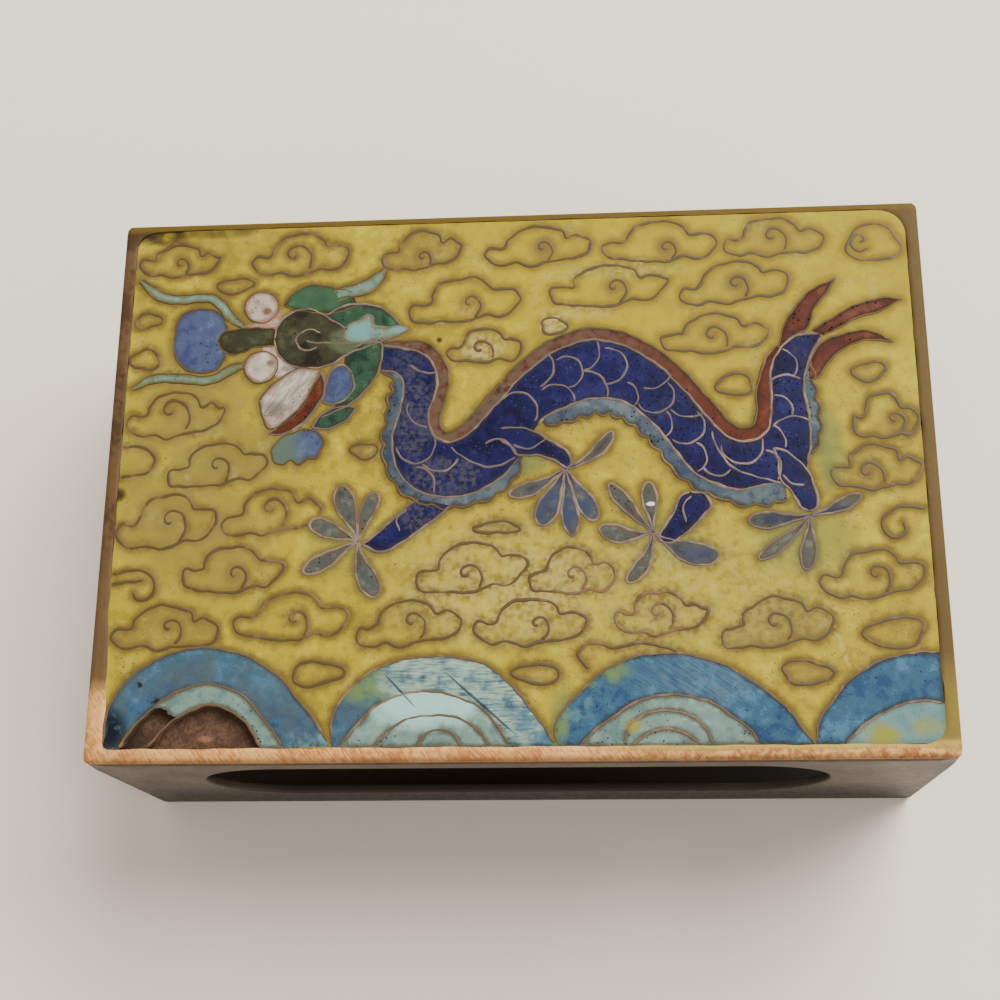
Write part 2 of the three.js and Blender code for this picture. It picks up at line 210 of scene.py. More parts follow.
class Value:
    """A socket of a material's node tree: arithmetic adds Math nodes, and node() adds any other."""

    def __init__(self, tree, socket):
        self.tree = tree
        self.socket = socket

    def node(self, kind, settings, sockets, output=0):
        """One output of a new node, with its settings set first and then its sockets' values and links."""
        made = self.tree.nodes.new(kind)
        for name, setting in settings.items():
            setattr(made, name, setting)
        for name, value in sockets.items():
            if isinstance(value, Value):
                self.tree.links.new(value.socket, made.inputs[name])
            else:
                made.inputs[name].default_value = value
        return Value(self.tree, made.outputs[output])

    def math(self, operation, *values):
        """A Math node on the values in their order."""
        return self.node("ShaderNodeMath", {"operation": operation}, dict(enumerate(values)))

    def __add__(self, other):
        return self.math("ADD", self, other)

    def __sub__(self, other):
        return self.math("SUBTRACT", self, other)

    def __rsub__(self, other):
        return self.math("SUBTRACT", other, self)

    def __mul__(self, other):
        return self.math("MULTIPLY", self, other)

    def __truediv__(self, other):
        return self.math("DIVIDE", self, other)

    def __rtruediv__(self, other):
        return self.math("DIVIDE", other, self)

    def __abs__(self):
        return self.math("ABSOLUTE", self)

    __radd__ = __add__
    __rmul__ = __mul__

    def ramp(self, low, high):
        """0 at low and 1 at high, smooth between; low may be the larger of the two."""
        settings = {"interpolation_type": "SMOOTHSTEP"}
        return self.node("ShaderNodeMapRange", settings, {0: self, 1: low, 2: high})

    def mix(self, first, second):
        """The first colour where this value is 0 and the second where it is 1."""
        return self.node("ShaderNodeMix", {"data_type": "RGBA"}, {0: self, 6: first, 7: second}, 2)

    def axis(self, name):
        """X, Y or Z of a place."""
        return self.node("ShaderNodeSeparateXYZ", {}, {0: self}, name)

    def noise(self, scale, detail=3.0):
        """Cloudy values of about 0.25 to 0.75, scale lumps to the millimetre; self is a place."""
        return self.node("ShaderNodeTexNoise", {}, {"Vector": self, "Scale": scale, "Detail": detail})

    def stretched(self, x, y, z, turn=0.0):
        """The place turned about Z and then scaled on each axis."""
        turned = self.node("ShaderNodeVectorRotate", {"rotation_type": "Z_AXIS"}, {0: self, "Angle": turn})
        return self.node("ShaderNodeVectorMath", {"operation": "MULTIPLY"}, {0: turned, 1: (x, y, z)})

    def around(self, x, y, reach_x, reach_y):
        """1 at a spot of the plan, falling to 0 at its reach; self is a place."""
        away_x = (self.axis("X") - x) / reach_x
        away_y = (self.axis("Y") - y) / reach_y
        return (away_x * away_x + away_y * away_y).ramp(1.0, 0.0)

    def spots(self, places):
        """The sum of spots as around() makes them, each with a weight as its last number."""
        return sum(self.around(*spot) * weight for *spot, weight in places)

    def scratch(self, x0, y0, x1, y1, half):
        """1 along a straight scratch between two spots of the plan, narrowing to both; self is a place."""
        turn = np.arctan2(y1 - y0, x1 - x0)
        middle_x, middle_y = (x0 + x1) / 2, (y0 + y1) / 2
        along = middle_x * np.cos(turn) + middle_y * np.sin(turn)
        aside = middle_y * np.cos(turn) - middle_x * np.sin(turn)
        return self.stretched(1, 1, 1, -turn).around(along, aside, np.hypot(x1 - x0, y1 - y0) / 2, half)

    def specks(self, scale, size):
        """1 in small round specks, one in each cell of 1/scale mm of the plan; self is a place."""
        settings = {"voronoi_dimensions": "2D"}
        cells = self.node("ShaderNodeTexVoronoi", settings, {"Vector": self, "Scale": scale})
        return cells.ramp(size, size * 0.55)

    def bump(self, strength, distance):
        """A normal that leans with this height."""
        sockets = {"Strength": strength, "Distance": distance * MM, "Height": self}
        return self.node("ShaderNodeBump", {}, sockets)


def srgb(red, green, blue):
    """A colour as seen on a screen, 0 to 255, as the linear values that a shader takes."""
    seen = np.array([red, green, blue]) / 255
    linear = np.where(seen <= 0.04045, seen / 12.92, ((seen + 0.055) / 1.055) ** 2.4)
    return (*linear.tolist(), 1.0)


def surface(name):
    """A new material: gives it, its shader, and the place on the piece in millimetres."""
    made = bpy.data.materials.new(name)
    made.use_nodes = True
    tree = made.node_tree
    place = Value(tree, tree.nodes.new("ShaderNodeTexCoord").outputs["Object"])
    place = place.node("ShaderNodeVectorMath", {"operation": "SCALE"}, {0: place, "Scale": 1 / MM})
    return made, tree.nodes["Principled BSDF"], place


def finish(shader, **values):
    """Sets or links sockets of a shader; a name's underscores stand for spaces."""
    for name, value in values.items():
        socket = shader.inputs[name.replace("_", " ")]
        if isinstance(value, Value):
            value.tree.links.new(value.socket, socket)
        else:
            socket.default_value = value


across_x = samples(-HALF_LENGTH, HALF_LENGTH)
across_y = samples(-HALF_WIDTH, HALF_WIDTH)
up_z = samples(0, HEIGHT)
inner_y = across_y * INNER_WIDTH / HALF_WIDTH
inner_z = SHEET + up_z * (TRAY_FLOOR - 2 * SHEET) / HEIGHT

side_ring = ring(across_x, up_z)
lip = np.stack([slot_ring(side_ring, out) for out in SLOT_LIP[:, 0]])
lip_depth = SLOT_LIP[:, 1:]
outer_face = between(lip[0], side_ring, SIDE_ROWS)
inner_face = between(lip[-1], ring(across_x, inner_z), SIDE_ROWS)
end_face = between(ring(across_y, up_z), ring(inner_y, inner_z), END_ROWS)

plan_ring = ring(across_x, across_y)
tray_scale = (TRAY_HIGH - TRAY_LOW) / (2 * np.array([HALF_LENGTH, HALF_WIDTH]))
tray_ring = rounded_tray(plan_ring * tray_scale + (TRAY_LOW + TRAY_HIGH) / 2)
hand_filed = uneven(tray_ring.sum(axis=1), tray_ring[:, 1], FILE_WAVES)
tray_edge = tray_ring * (1 - hand_filed[:, None] / FILE_REACH)
tray_edge[:, 0] += BROAD_RIM * np.clip((BROAD_FROM - tray_ring) / BROAD_STRETCH, 0, 1).prod(axis=1)
core_x = np.clip(0.5 * tray_ring[:, 0], -TRAY_CORE, TRAY_CORE)
tray_core = np.stack([core_x, np.zeros(len(core_x))], axis=1)

rim_face = between(plan_ring, tray_edge, RIM_ROWS)
arris = on_plane(tray_edge, 2, HEIGHT - ARRIS)
sleeve_patches = [
    worn_edges(on_plane(rectangle(across_x, across_y), 2, 0)),
    worn_edges(on_plane(rim_face, 2, HEIGHT)),
    np.stack([on_plane(rim_face[-1], 2, HEIGHT), arris]),
    np.stack([arris, on_plane(tray_edge, 2, TRAY_FLOOR)]),
    on_plane(between(tray_edge, tray_core, TRAY_ROWS), 2, TRAY_FLOOR),
]
for side in (-1, 1):
    sleeve_patches += [
        worn_edges(on_plane(outer_face, 1, side * HALF_WIDTH)),
        on_plane(lip, 1, side * (HALF_WIDTH - lip_depth)),
        on_plane(inner_face, 1, side * INNER_WIDTH),
        worn_edges(on_plane(end_face, 0, side * HALF_LENGTH)),
    ]
sleeve_patches += [on_plane(rectangle(across_x, inner_y), 2, inner_z[i]) for i in (0, -1)]
sleeve = piece("sleeve_metal", sleeve_patches)

metal, shader, place = surface("aged_copper")
x, y, z = (place.axis(name) for name in "XYZ")
beside = abs(y)
cloudy = place.noise(0.35, 4.0)
fine = place.noise(2.2, 4.0)
filed = place.stretched(1.4, 8.0, 1.0, 0.9).noise(1.0, 4.0)

# The rim is brown, brassy towards the right and the back, and filed bright along the front, where a
# highlight is painted into the bright tone as well.
brown = (cloudy + 0.5 * (fine - 0.5)).ramp(0.38, 0.64).mix(srgb(72, 52, 30), srgb(98, 72, 44))
brassy = (x.ramp(27.5, 29.3) * 0.8).mix(brown, srgb(94, 75, 38))
brassy = place.around(29.6, -19.0, 3.0, 6.0).mix(brassy, srgb(126, 106, 46))
brassy = (place.around(-29.5, -11.0, 1.8, 8.0) * 0.7).mix(brassy, srgb(106, 80, 50))
brassy = y.ramp(19.9, 20.3).mix(brassy, srgb(99, 77, 24))
# The filed bright tone of the front, with a painted highlight in it.
filed_bright_and_highlit = (0.6 * filed + 0.5 * cloudy + 0.3 * (fine - 0.5)).ramp(0.42, 0.66)
filed_bright_and_highlit = filed_bright_and_highlit.mix(srgb(182, 118, 64), srgb(230, 170, 104))
# Where the rim is worn and its highlight painted: along the front and at the front left corner.
worn = (y.ramp(-19.3, -19.75) + place.around(-29.4, -18.8, 2.4, 5.0)).ramp(0.15, 0.9)
rim = worn.mix(brassy, filed_bright_and_highlit)
# The front's right half is grainy, its bright grains partly a painted highlight.
grainy_and_highlit = fine.ramp(0.42, 0.6).mix(srgb(136, 82, 42), srgb(216, 164, 98))
rim = (y.ramp(-19.6, -19.9) * x.ramp(2.0, 14.0) * 0.5).mix(rim, grainy_and_highlit)
smear = (y + (cloudy - 0.5) * 0.5).ramp(-20.12, -19.98) * y.ramp(-19.2, -19.6) * x.ramp(3.0, 10.0)
rim = (smear * 0.75).mix(rim, srgb(152, 132, 58))
rim = (y.ramp(-20.15, -20.75) * 0.6).mix(rim, srgb(92, 66, 42))

# The sides are grey brown and darker round the slot. Shade is painted on the foot of the front, and the
# tube is tarnished inside and painted darker with shade.
flank = (cloudy + 0.3 * fine).ramp(0.42, 0.9).mix(srgb(76, 66, 57), srgb(97, 86, 76))
# Painted shade: the front darkens towards its foot.
flank = (z.ramp(12.0, 3.0) * y.ramp(-19.6, -20.4)).mix(flank, srgb(32, 26, 21))
on_lip = beside.ramp(HALF_WIDTH - 0.02, HALF_WIDTH - 0.08) * z.ramp(19.0, 18.4) * z.ramp(5.0, 5.6)
on_lip = on_lip * beside.ramp(INNER_WIDTH + 0.02, INNER_WIDTH + 0.1)
in_tube = beside.ramp(INNER_WIDTH + 0.07, INNER_WIDTH + 0.01)
in_tube = in_tube * z.ramp(TRAY_FLOOR - 0.1, TRAY_FLOOR - 0.3) * z.ramp(SHEET - 0.2, SHEET - 0.05)
# Inside the tube: tarnish with painted shade, darker towards the right.
tube_tarnish_and_shade = x.ramp(0.0, 20.0).mix(srgb(70, 58, 46), srgb(34, 28, 23))

# The bare floor of the tray is rough, with a painted highlight in its middle, and darker at its left end.
in_tray = z.ramp(HEIGHT - 0.25, HEIGHT - 0.4) * z.ramp(TRAY_FLOOR - 0.15, TRAY_FLOOR - 0.05)
rough = place.noise(4.0, 3.0)
bare = (0.5 * place.noise(1.1, 4.0) + 0.5 * rough).ramp(0.4, 0.6)
bare = bare.mix(srgb(74, 54, 40), srgb(98, 73, 54))
# Painted highlight: a pale pink spot.
bare = (place.around(-21.6, -18.9, 0.7, 0.28) * 0.7).mix(bare, srgb(150, 104, 86))
# Darker at the left end.
bare = (place.around(-27.0, -18.9, 1.6, 1.8) * 0.8).mix(bare, srgb(40, 32, 28))

colour = z.ramp(HEIGHT - 0.7, HEIGHT - 0.15).mix(flank, rim)
colour = on_lip.mix(colour, srgb(72, 60, 50))
colour = in_tray.mix(colour, bare)
colour = in_tube.mix(colour, tube_tarnish_and_shade)
finish(
    shader,
    Base_Color=colour,
    Metallic=0.12 + worn * 0.18,
    Roughness=0.58 - worn * 0.1 + (fine - 0.5) * 0.3 + in_tray * 0.2,
    Normal=(filed * 0.7 + fine * 0.6 + in_tray * rough * 3.0).bump(0.5, 0.05),
    Specular_IOR_Level=0.15,
)
sleeve.data.materials.append(metal)
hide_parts("sleeve")


# Waves
# Four hills of water along the lower edge: nested bands of blue and turquoise glass between bent copper
# strips. The heart of the first hill has fallen out and shows the bare tray.

ENAMEL_FACE = 20.965
ENAMEL_FLOOR = TRAY_FLOOR - 0.03
ENAMEL_CROWN = 0.01
CROWN_REACH = 0.4
# Fields lie in layers a hair apart, and the lowest figure is this many above the sky.
LAYER = 0.004
FIGURE_LAYER = 2
WIRE_TOP = 21.015
WIRE_HALF = 0.1
WAVE_WIRE_HALF = 0.085
# Tops of strips differ by up to a step, a different share of it for each.
WIRE_STEP = 0.012
STEP_RATE = 7
# A strip's section: half widths across, and millimetres below its top.
WIRE_SECTION = np.array([(-1, -0.8), (-1, -0.04), (-0.55, 0), (0.55, 0), (1, -0.04), (1, -0.8), (-1, -0.8)])
# How a strip waves aside, and how it swells as shares of its width.
BEND_WAVES = [(0.03, 2.1, 1), (0.02, 5.3, 2)]
BEND_FADE = 0.5
WIDTH_WAVES = [(0.18, 1.3, 1), (0.1, 4.7, 0)]
TIP_LENGTH = 0.15
# The strips of each hill from the outermost in, each from right to left over the top.
WAVE_STRIPS = {
    "wave_1": [
        [(-12.7, -19.6), (-13.7, -17.95), (-15, -16.4), (-16.2, -14.95), (-17.9, -13.7), (-19.6, -12.95),
         (-21.4, -12.6), (-23.1, -12.65), (-24.8, -13.2), (-26.2, -13.95), (-27.5, -15.2),
         (-28.3, -16.5), (-28.6, -18), (-28.6, -19.7)],
        [(-15.9, -19.7), (-16.65, -18.6), (-17.7, -17.3), (-18.75, -16.2), (-19.8, -15.55),
         (-21.2, -15.2), (-22.7, -15.35), (-24.15, -16), (-25, -16.6), (-26, -17.55), (-27.1, -18.9),
         (-27.5, -19.7)],
        [(-17.5, -19.7), (-18.1, -18.6), (-18.95, -17.65), (-20, -16.95), (-21.25, -16.65),
         (-22.3, -16.9), (-23.5, -17.55), (-24.6, -18.5), (-25.6, -19.7)],
    ],
    "wave_2": [
        [(2.9, -19.7), (2.1, -18.5), (1.1, -17.1), (0.05, -15.8), (-0.8, -14.9), (-2.3, -13.9),
         (-3.9, -13.5), (-5.8, -13.4), (-7.7, -13.6), (-9.6, -14.2), (-11, -15.25), (-12.1, -16.5),
         (-12.65, -17.9), (-12.6, -19.7)],
        [(-0.3, -19.7), (-1.2, -18.2), (-2.5, -16.9), (-4.15, -16.2), (-6.2, -15.8), (-7.9, -16.1),
         (-9.4, -16.7), (-10.4, -17.65), (-11.2, -18.5), (-12.1, -19.7)],
        [(-1.7, -19.7), (-2.4, -18.7), (-3.5, -17.85), (-5.4, -17.5), (-7.1, -17.7), (-8.5, -18.4),
         (-9.7, -19.7)],
        [(-3.65, -19.7), (-4.15, -18.9), (-5.2, -18.5), (-6.1, -18.8), (-6.7, -19.7)],
    ],
    "wave_3": [
        [(20.3, -19.7), (19.4, -18.5), (18.4, -17.1), (17.1, -16), (15.5, -14.8), (13.6, -13.9),
         (11.5, -13.4), (9.4, -13.4), (7.75, -13.75), (6.1, -14.6), (4.8, -15.7), (3.6, -17),
         (2.8, -18.2), (2.9, -19.7)],
        [(16.6, -19.7), (15.9, -18.6), (14.6, -17.6), (13.2, -16.7), (11.5, -16.3), (9.8, -16.3),
         (8.2, -16.8), (6.7, -17.75), (5.45, -18.7), (4.4, -19.7)],
        [(13.5, -19.7), (12.95, -18.5), (11.9, -17.65), (10.45, -17.3), (8.8, -17.65), (7.8, -18.4),
         (7.5, -19.7)],
        [(12.7, -19.7), (11.6, -18.9), (10.25, -18.6), (9, -18.9), (8, -19.7)],
    ],
    "wave_4": [
        [(29, -13.5), (27.5, -13.5), (25.9, -13.75), (24.4, -14.3), (22.95, -15.25), (21.7, -16.6),
         (20.65, -18.1), (20.3, -19.7)],
        [(29, -17.05), (27.95, -16.8), (26.5, -17), (25, -17.55), (23.8, -18.3), (22.75, -19.2),
         (22.3, -19.7)],
    ],
}
WAVE_BANDS = {
    "wave_1": ["outer", "middle"],
    "wave_2": ["outer", "middle", "inner", "core"],
    "wave_3": ["outer", "middle", "inner", "core"],
    "wave_4": ["outer", "inner"],
}
WAVE_STEPS = 70
BAND_ROWS = np.linspace(0, 1, 12)
# The first hill's middle band is broken off. The lost field starts a share of the way into the outer band
# and is closed by two places in front of the tray.
KEPT_SHARE = 0.74
BREAK_PHASE = 2
BREAK_WAVES = [(0.01, 0.7, 1), (0.005, 2.1, 0)]
LOST_SHARE = 0.12
LOST_FRONT = [(-28, -21), (-15, -21)]
# Spots on the blue and the turquoise glass: middle, reach on both axes, and weight.
GREEN_SPILL = [(-10.2, -15.4, 2.4, 1.8, 1), (5.6, -14.6, 3.2, 1.3, 1), (3.0, -18.2, 1.0, 2.0, 1)]
PALER_BLUE = [(-3.6, -15.0, 8.0, 3.8, 1), (0.6, -17.6, 2.6, 2.8, 0.8)]
WORN_FOOT = [(-14.4, -19.3, 2.0, 1.2, 1), (-13.0, -18.6, 0.8, 1.2, 1), (4.2, -17.0, 1.8, 1.8, 1)]
BURNT_BLUE = [(-28.2, -18.4, 1.7, 2.0, 1), (-25.2, -16.3, 0.6, 0.3, 1), (-26.4, -15.2, 0.4, 0.3, 1)]
YELLOW_SPILL = [(24.8, -19.2, 1.7, 1.2, 1), (27.8, -18.6, 1.4, 0.9, 0.7), (8.1, -18.4, 0.8, 0.6, 1)]
# Scratches across the second hill: both ends and half the width.
SCRATCHES = [(-5.6, -13.8, 0.9, -19.6, 0.13), (-9.4, -14.2, -6.4, -17.4, 0.1)]
wires = {"wave": [], "dragon": [], "cloud": []}
cells = []


def spine(points, steps):
    """A smooth line through the points, with any further columns carried along: centripetal Catmull-Rom
    cubics, whose knots are spaced by the root of the distance between points."""
    p = np.asarray(points, dtype=float)
    p = np.concatenate([2 * p[:1] - p[1:2], p, 2 * p[-1:] - p[-2:-1]])
    knots = np.concatenate([[0], np.cumsum(np.linalg.norm(np.diff(p[:, :2], axis=0), axis=1) ** 0.5)])
    at = np.linspace(0, len(points) - 1, steps)
    i = np.minimum(at.astype(int), len(points) - 2)
    t0, t1, t2, t3 = (knots[i + k][:, None] for k in range(4))
    p0, p1, p2, p3 = (p[i + k] for k in range(4))
    t = t1 + (at - i)[:, None] * (t2 - t1)
    a = ((t1 - t) * p0 + (t - t0) * p1) / (t1 - t0)
    b = ((t2 - t) * p1 + (t - t1) * p2) / (t2 - t1)
    c = ((t3 - t) * p2 + (t - t2) * p3) / (t3 - t2)
    d = ((t2 - t) * a + (t - t0) * b) / (t2 - t0)
    e = ((t3 - t) * b + (t - t1) * c) / (t3 - t1)
    return ((t2 - t) * d + (t - t1) * e) / (t2 - t1)


def way_along(line):
    """How far each point of a line is along it."""
    return np.concatenate([[0], np.cumsum(np.linalg.norm(np.diff(line, axis=0), axis=1))])


def left_of(line, closed=False):
    """Unit vectors to the left of the way along a line."""
    if closed:
        along = np.roll(line, -1, axis=0) - np.roll(line, 1, axis=0)
    else:
        along = np.gradient(line, axis=0)
    along = along / np.maximum(np.linalg.norm(along, axis=1, keepdims=True), TINY)
    return np.stack([-along[:, 1], along[:, 0]], axis=1)


def distance(points, line):
    """How far each point is from the nearest place on a line of straight stretches."""
    start = line[:-1]
    along = line[1:] - start
    length = np.maximum((along**2).sum(axis=1), TINY)
    away = points[:, None] - start
    share = np.clip((away * along).sum(axis=2) / length, 0, 1)
    return np.linalg.norm(away - share[..., None] * along, axis=2).min(axis=1)


def edge_of(grid):
    """The closed line round a grid of points."""
    return np.concatenate([grid[:-1, 0], grid[-1, :-1], grid[:0:-1, -1], grid[0, :0:-1], grid[:1, 0]])


def broken_off(plan, share):
    """A grid cut short to about a share of each row, with a jagged end: each row stops at its own place."""
    rows, columns = plan.shape[:2]
    row = np.arange(rows)
    end = share + uneven(row, BREAK_PHASE, BREAK_WAVES)
    at = np.linspace(0, 1, columns) * end[:, None] * (columns - 1)
    low = at.astype(int)
    part = (at - low)[..., None]
    return plan[row[:, None], low] * (1 - part) + plan[row[:, None], low + 1] * part


def cell(name, plans, material, layer=0):
    """Fields of glass of one colour that belong together, each from a grid in plan: a face that is crowned
    between its edges, upright sides, and a flat base on the tray. A field drawn over another is a layer
    higher. The attribute edge is the distance to the nearest wire."""
    patches = []
    edges = []
    for plan in plans:
        rim = edge_of(plan)
        edge = distance(plan.reshape(-1, 2), rim).reshape(plan.shape[:2])
        crown = ENAMEL_CROWN * np.minimum(edge / CROWN_REACH, 1)
        face = on_plane(plan, 2, ENAMEL_FACE + (FIGURE_LAYER + layer) * LAYER + crown)
        base = on_plane(plan, 2, ENAMEL_FLOOR)
        ends = [np.stack([face[i], base[i]]) for i in (0, -1)]
        sides = [np.stack([face[:, i], base[:, i]]) for i in (0, -1)]
        patches += [face, base, *ends, *sides]
        edges += [edge.reshape(-1)] + [np.zeros(p.shape[0] * p.shape[1]) for p in (base, *ends, *sides)]
        cells.append(rim)
    made = piece(f"{name}_enamel", patches, [("edge", np.concatenate(edges))])
    made.data.materials.append(material)
    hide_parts(name)


def wire(line, closed=False, half=WIRE_HALF, top=WIRE_TOP):
    """A strip of copper on edge, a little proud of the glass: a section with a rounded top carried along the
    line, which waves a little as a strip bent by hand does. An open strip narrows to nothing at its ends,
    and no two strips stand quite as high."""
    if closed:
        line = np.concatenate([line, line[:1]])
    length = way_along(line)
    left = left_of(line[:-1], True) if closed else left_of(line)
    left = np.concatenate([left, left[:1]]) if closed else left
    phase = line[0].sum()
    to_end = np.minimum(length, length[-1] - length)
    wave = np.minimum(1, to_end / BEND_FADE) * uneven(length, phase, BEND_WAVES)
    line = line + left * wave[:, None]
    width = half * (1 + uneven(length, phase, WIDTH_WAVES))
    if closed:
        width[-1] = width[0]
    else:
        width = width * np.sqrt(np.clip(to_end / TIP_LENGTH, 0, 1))
    flat = line[:, None] + left[:, None] * WIRE_SECTION[:, 0, None] * width[:, None, None]
    top = top - WIRE_STEP * (np.abs(STEP_RATE * phase) % 1)
    return on_plane(flat, 2, top + WIRE_SECTION[:, 1] * np.ones((len(line), 1)))


def enamel(name, tones, pits=0.12, clear=0.5, dirty=0.4):
    """Opaque glass, ground flat by hand, from four tones: plain, deep, pale and grime. It is mottled and
    grainy between the first three, grimy up to the distance dirty from its wires, and has black pinholes of
    the size pits where a noise passes clear. Gives the material, its shader, the place and the colour."""
    plain, deep, pale, grime = (srgb(*tone) for tone in tones)
    made, shader, place = surface(name)
    mottle = place.noise(1.2, 4.0)
    grain = place.noise(7.0, 2.0)
    tone = place.noise(0.3, 3.0) * 0.45 + mottle * 0.35 + grain * 0.2
    edge = place.node("ShaderNodeAttribute", {"attribute_name": "edge"}, {}, "Fac")
    colour = tone.ramp(0.49, 0.41).mix(plain, deep)
    colour = tone.ramp(0.52, 0.62).mix(colour, pale)
    dirt = (edge + (mottle - 0.5) * 0.35 + (grain - 0.5) * 0.2).ramp(dirty, 0.06) * 0.85
    colour = dirt.mix(colour, grime)
    holes = place.specks(1.7, pits) * place.noise(0.5).ramp(clear, clear + 0.16)
    colour = holes.mix(colour, srgb(24, 21, 22))
    finish(
        shader,
        Roughness=0.45 + holes * 0.4 + dirt * 0.3 + (mottle - 0.5) * 0.3,
        Normal=(mottle * 0.5 + grain * 0.25 - holes * 0.6 - dirt * 0.3).bump(0.35, 0.06),
        IOR=1.5,
        Specular_IOR_Level=0.1,
    )
    return made, shader, place, colour


blue, shader, place, colour = enamel(
    "wave_blue_glass", [(52, 86, 107), (38, 66, 98), (70, 110, 132), (50, 54, 50)], pits=0.14
)
combed = place.stretched(0.5, 6.0, 1.0, 0.6).noise(1.2, 3.0)
streaks = place.stretched(0.7, 5.0, 1.0).noise(1.4, 4.0)
colour = (combed.ramp(0.54, 0.72) * 0.1).mix(colour, srgb(104, 132, 144))
duller = place.axis("X").ramp(-4.0, -15.0) * (0.2 + place.noise(0.5, 4.0)).ramp(0.5, 0.85)
colour = (duller * 0.75).mix(colour, srgb(72, 83, 84))
spill = place.spots(GREEN_SPILL) * (0.4 + place.noise(0.9, 4.0)).ramp(0.72, 1.0)
colour = (spill * 0.85).mix(colour, srgb(104, 126, 62))
scuffed = place.around(13.0, -15.2, 6.0, 2.6) * combed.ramp(0.4, 0.6)
colour = (scuffed * 0.4).mix(colour, srgb(98, 116, 122))
# Paler patches on the blue of the second hill.
brightened = (place.spots(PALER_BLUE).ramp(0.0, 1.0) + (place.noise(0.8, 4.0) - 0.5) * 0.6).ramp(0.05, 0.9)
brightened = brightened * (0.35 + streaks).ramp(0.55, 0.98) * (0.35 + place.noise(1.1, 4.0)).ramp(0.55, 0.95)
colour = (brightened * 0.9).mix(colour, srgb(156, 180, 154))
smudge = place.around(1.2, -17.8, 2.0, 2.2) * place.noise(1.4, 3.0).ramp(0.42, 0.6)
colour = (smudge * 0.7).mix(colour, srgb(66, 100, 116))
worn_foot = place.spots(WORN_FOOT) * place.noise(1.6, 3.0).ramp(0.38, 0.66)
colour = (worn_foot * 0.7).mix(colour, srgb(92, 128, 126))
burnt = place.spots(BURNT_BLUE) * place.noise(1.3, 4.0).ramp(0.34, 0.52)
colour = burnt.mix(colour, srgb(22, 24, 30))
cut = sum(place.scratch(*ends) for ends in SCRATCHES).ramp(0.2, 0.7)
colour = (cut * 0.85).mix(colour, srgb(34, 52, 64))
finish(shader, Base_Color=colour)

turquoise, shader, place, colour = enamel(
    "turquoise_glass", [(110, 133, 120), (90, 115, 108), (128, 154, 139), (78, 72, 56)], pits=0.13
)
# A paler patch on the turquoise of the second hill.
brightened = (place.around(-6.2, -16.6, 5.6, 2.6) + (place.noise(0.9, 4.0) - 0.5) * 1.1).ramp(0.05, 1.0)
colour = (brightened * 0.78).mix(colour, srgb(170, 212, 197))
colour = (place.axis("X").ramp(20.0, 23.5) * 0.6).mix(colour, srgb(98, 134, 132))
spill = place.spots(YELLOW_SPILL) * (0.4 + place.noise(0.9, 4.0)).ramp(0.55, 1.05)
colour = spill.mix(colour, srgb(140, 136, 46))
cut = sum(place.scratch(*ends) for ends in SCRATCHES).ramp(0.2, 0.7)
colour = (cut * 0.75).mix(colour, srgb(52, 78, 78))
finish(shader, Base_Color=colour)

for hill, strips in WAVE_STRIPS.items():
    lines = [np.maximum(spine(points, WAVE_STEPS), (-HALF_LENGTH, TRAY_LOW[1])) for points in strips]
    lines.append(np.stack([lines[-1][:, 0], np.full(WAVE_STEPS, TRAY_LOW[1])], axis=1))
    if hill == "wave_1":
        lost = between(lines[1], lines[0], [LOST_SHARE])[0]
        lost = np.concatenate([lost, LOST_FRONT, lost[:1]])
    for name, outer, inner in zip(WAVE_BANDS[hill], lines, lines[1:]):
        plan = between(outer, inner, BAND_ROWS)
        if (hill, name) == ("wave_1", "middle"):
            plan = broken_off(plan, KEPT_SHARE)
        slot, glass = ("wave_blue_enamel", blue) if name == "outer" else ("turquoise_enamel", turquoise)
        cell(f"{hill}_{name}", [plan], glass)
    wires["wave"] += [wire(line[1:-1], half=WAVE_WIRE_HALF) for line in lines[:-1]]


# Dragon's body
# One long field of dark blue glass from the neck to the tip of the tail, with scales drawn in thin copper
# strips, a red crest along its back and a pale blue belly with a scalloped hem.

# Each row crosses the body: a place on the back and one on the belly's side, from the neck to the tail.
BODY = [
    (-9.9, 10.15, -9.9, 8.2), (-8.5, 9.95, -8.9, 8), (-7.1, 9.6, -8.35, 7.4), (-6.1, 8.7, -8.2, 6.6),
    (-5.7, 7.4, -8.3, 5.7), (-5.95, 5.9, -8.6, 4.3), (-6.3, 4.5, -8.95, 2.6), (-6, 3.1, -8.6, 0.7),
    (-5.2, 2.55, -7.4, -1), (-4.4, 2.5, -5.3, -1.75), (-3.4, 3, -3.2, -1.55), (-2.3, 4.2, -1.5, -0.75),
    (-1.2, 5.45, -0.2, 0.45), (0.1, 7, 0.8, 2.1), (1.7, 8.5, 1.9, 3.9), (3.5, 9.65, 3.3, 4.75),
    (5.6, 10.2, 5.1, 5.45), (7.3, 9.95, 6.9, 5.55), (9, 9.15, 8.4, 4.95), (10.7, 7.85, 9.9, 3.65),
    (12.1, 6.3, 11.3, 1.8), (13.5, 4.5, 12.6, 0), (14.8, 2.85, 14.2, -1.1), (16, 2.1, 16, -1.6),
    (17.2, 2.1, 18, -1.25), (18.1, 2.8, 20.2, -0.9), (18.5, 4.2, 21, 1), (18.55, 5.6, 21.2, 3.2),
    (18.55, 6.9, 20.95, 5.4), (18.9, 8.4, 21, 7), (19.7, 9.5, 21.4, 8.2), (20.8, 10.2, 21.9, 9.2),
    (22.2, 10.25, 22.35, 10),
]
BODY_STEPS = 330
BODY_ROWS = np.linspace(0, 1, 13)
BODY_WIRE_HALF = 0.11
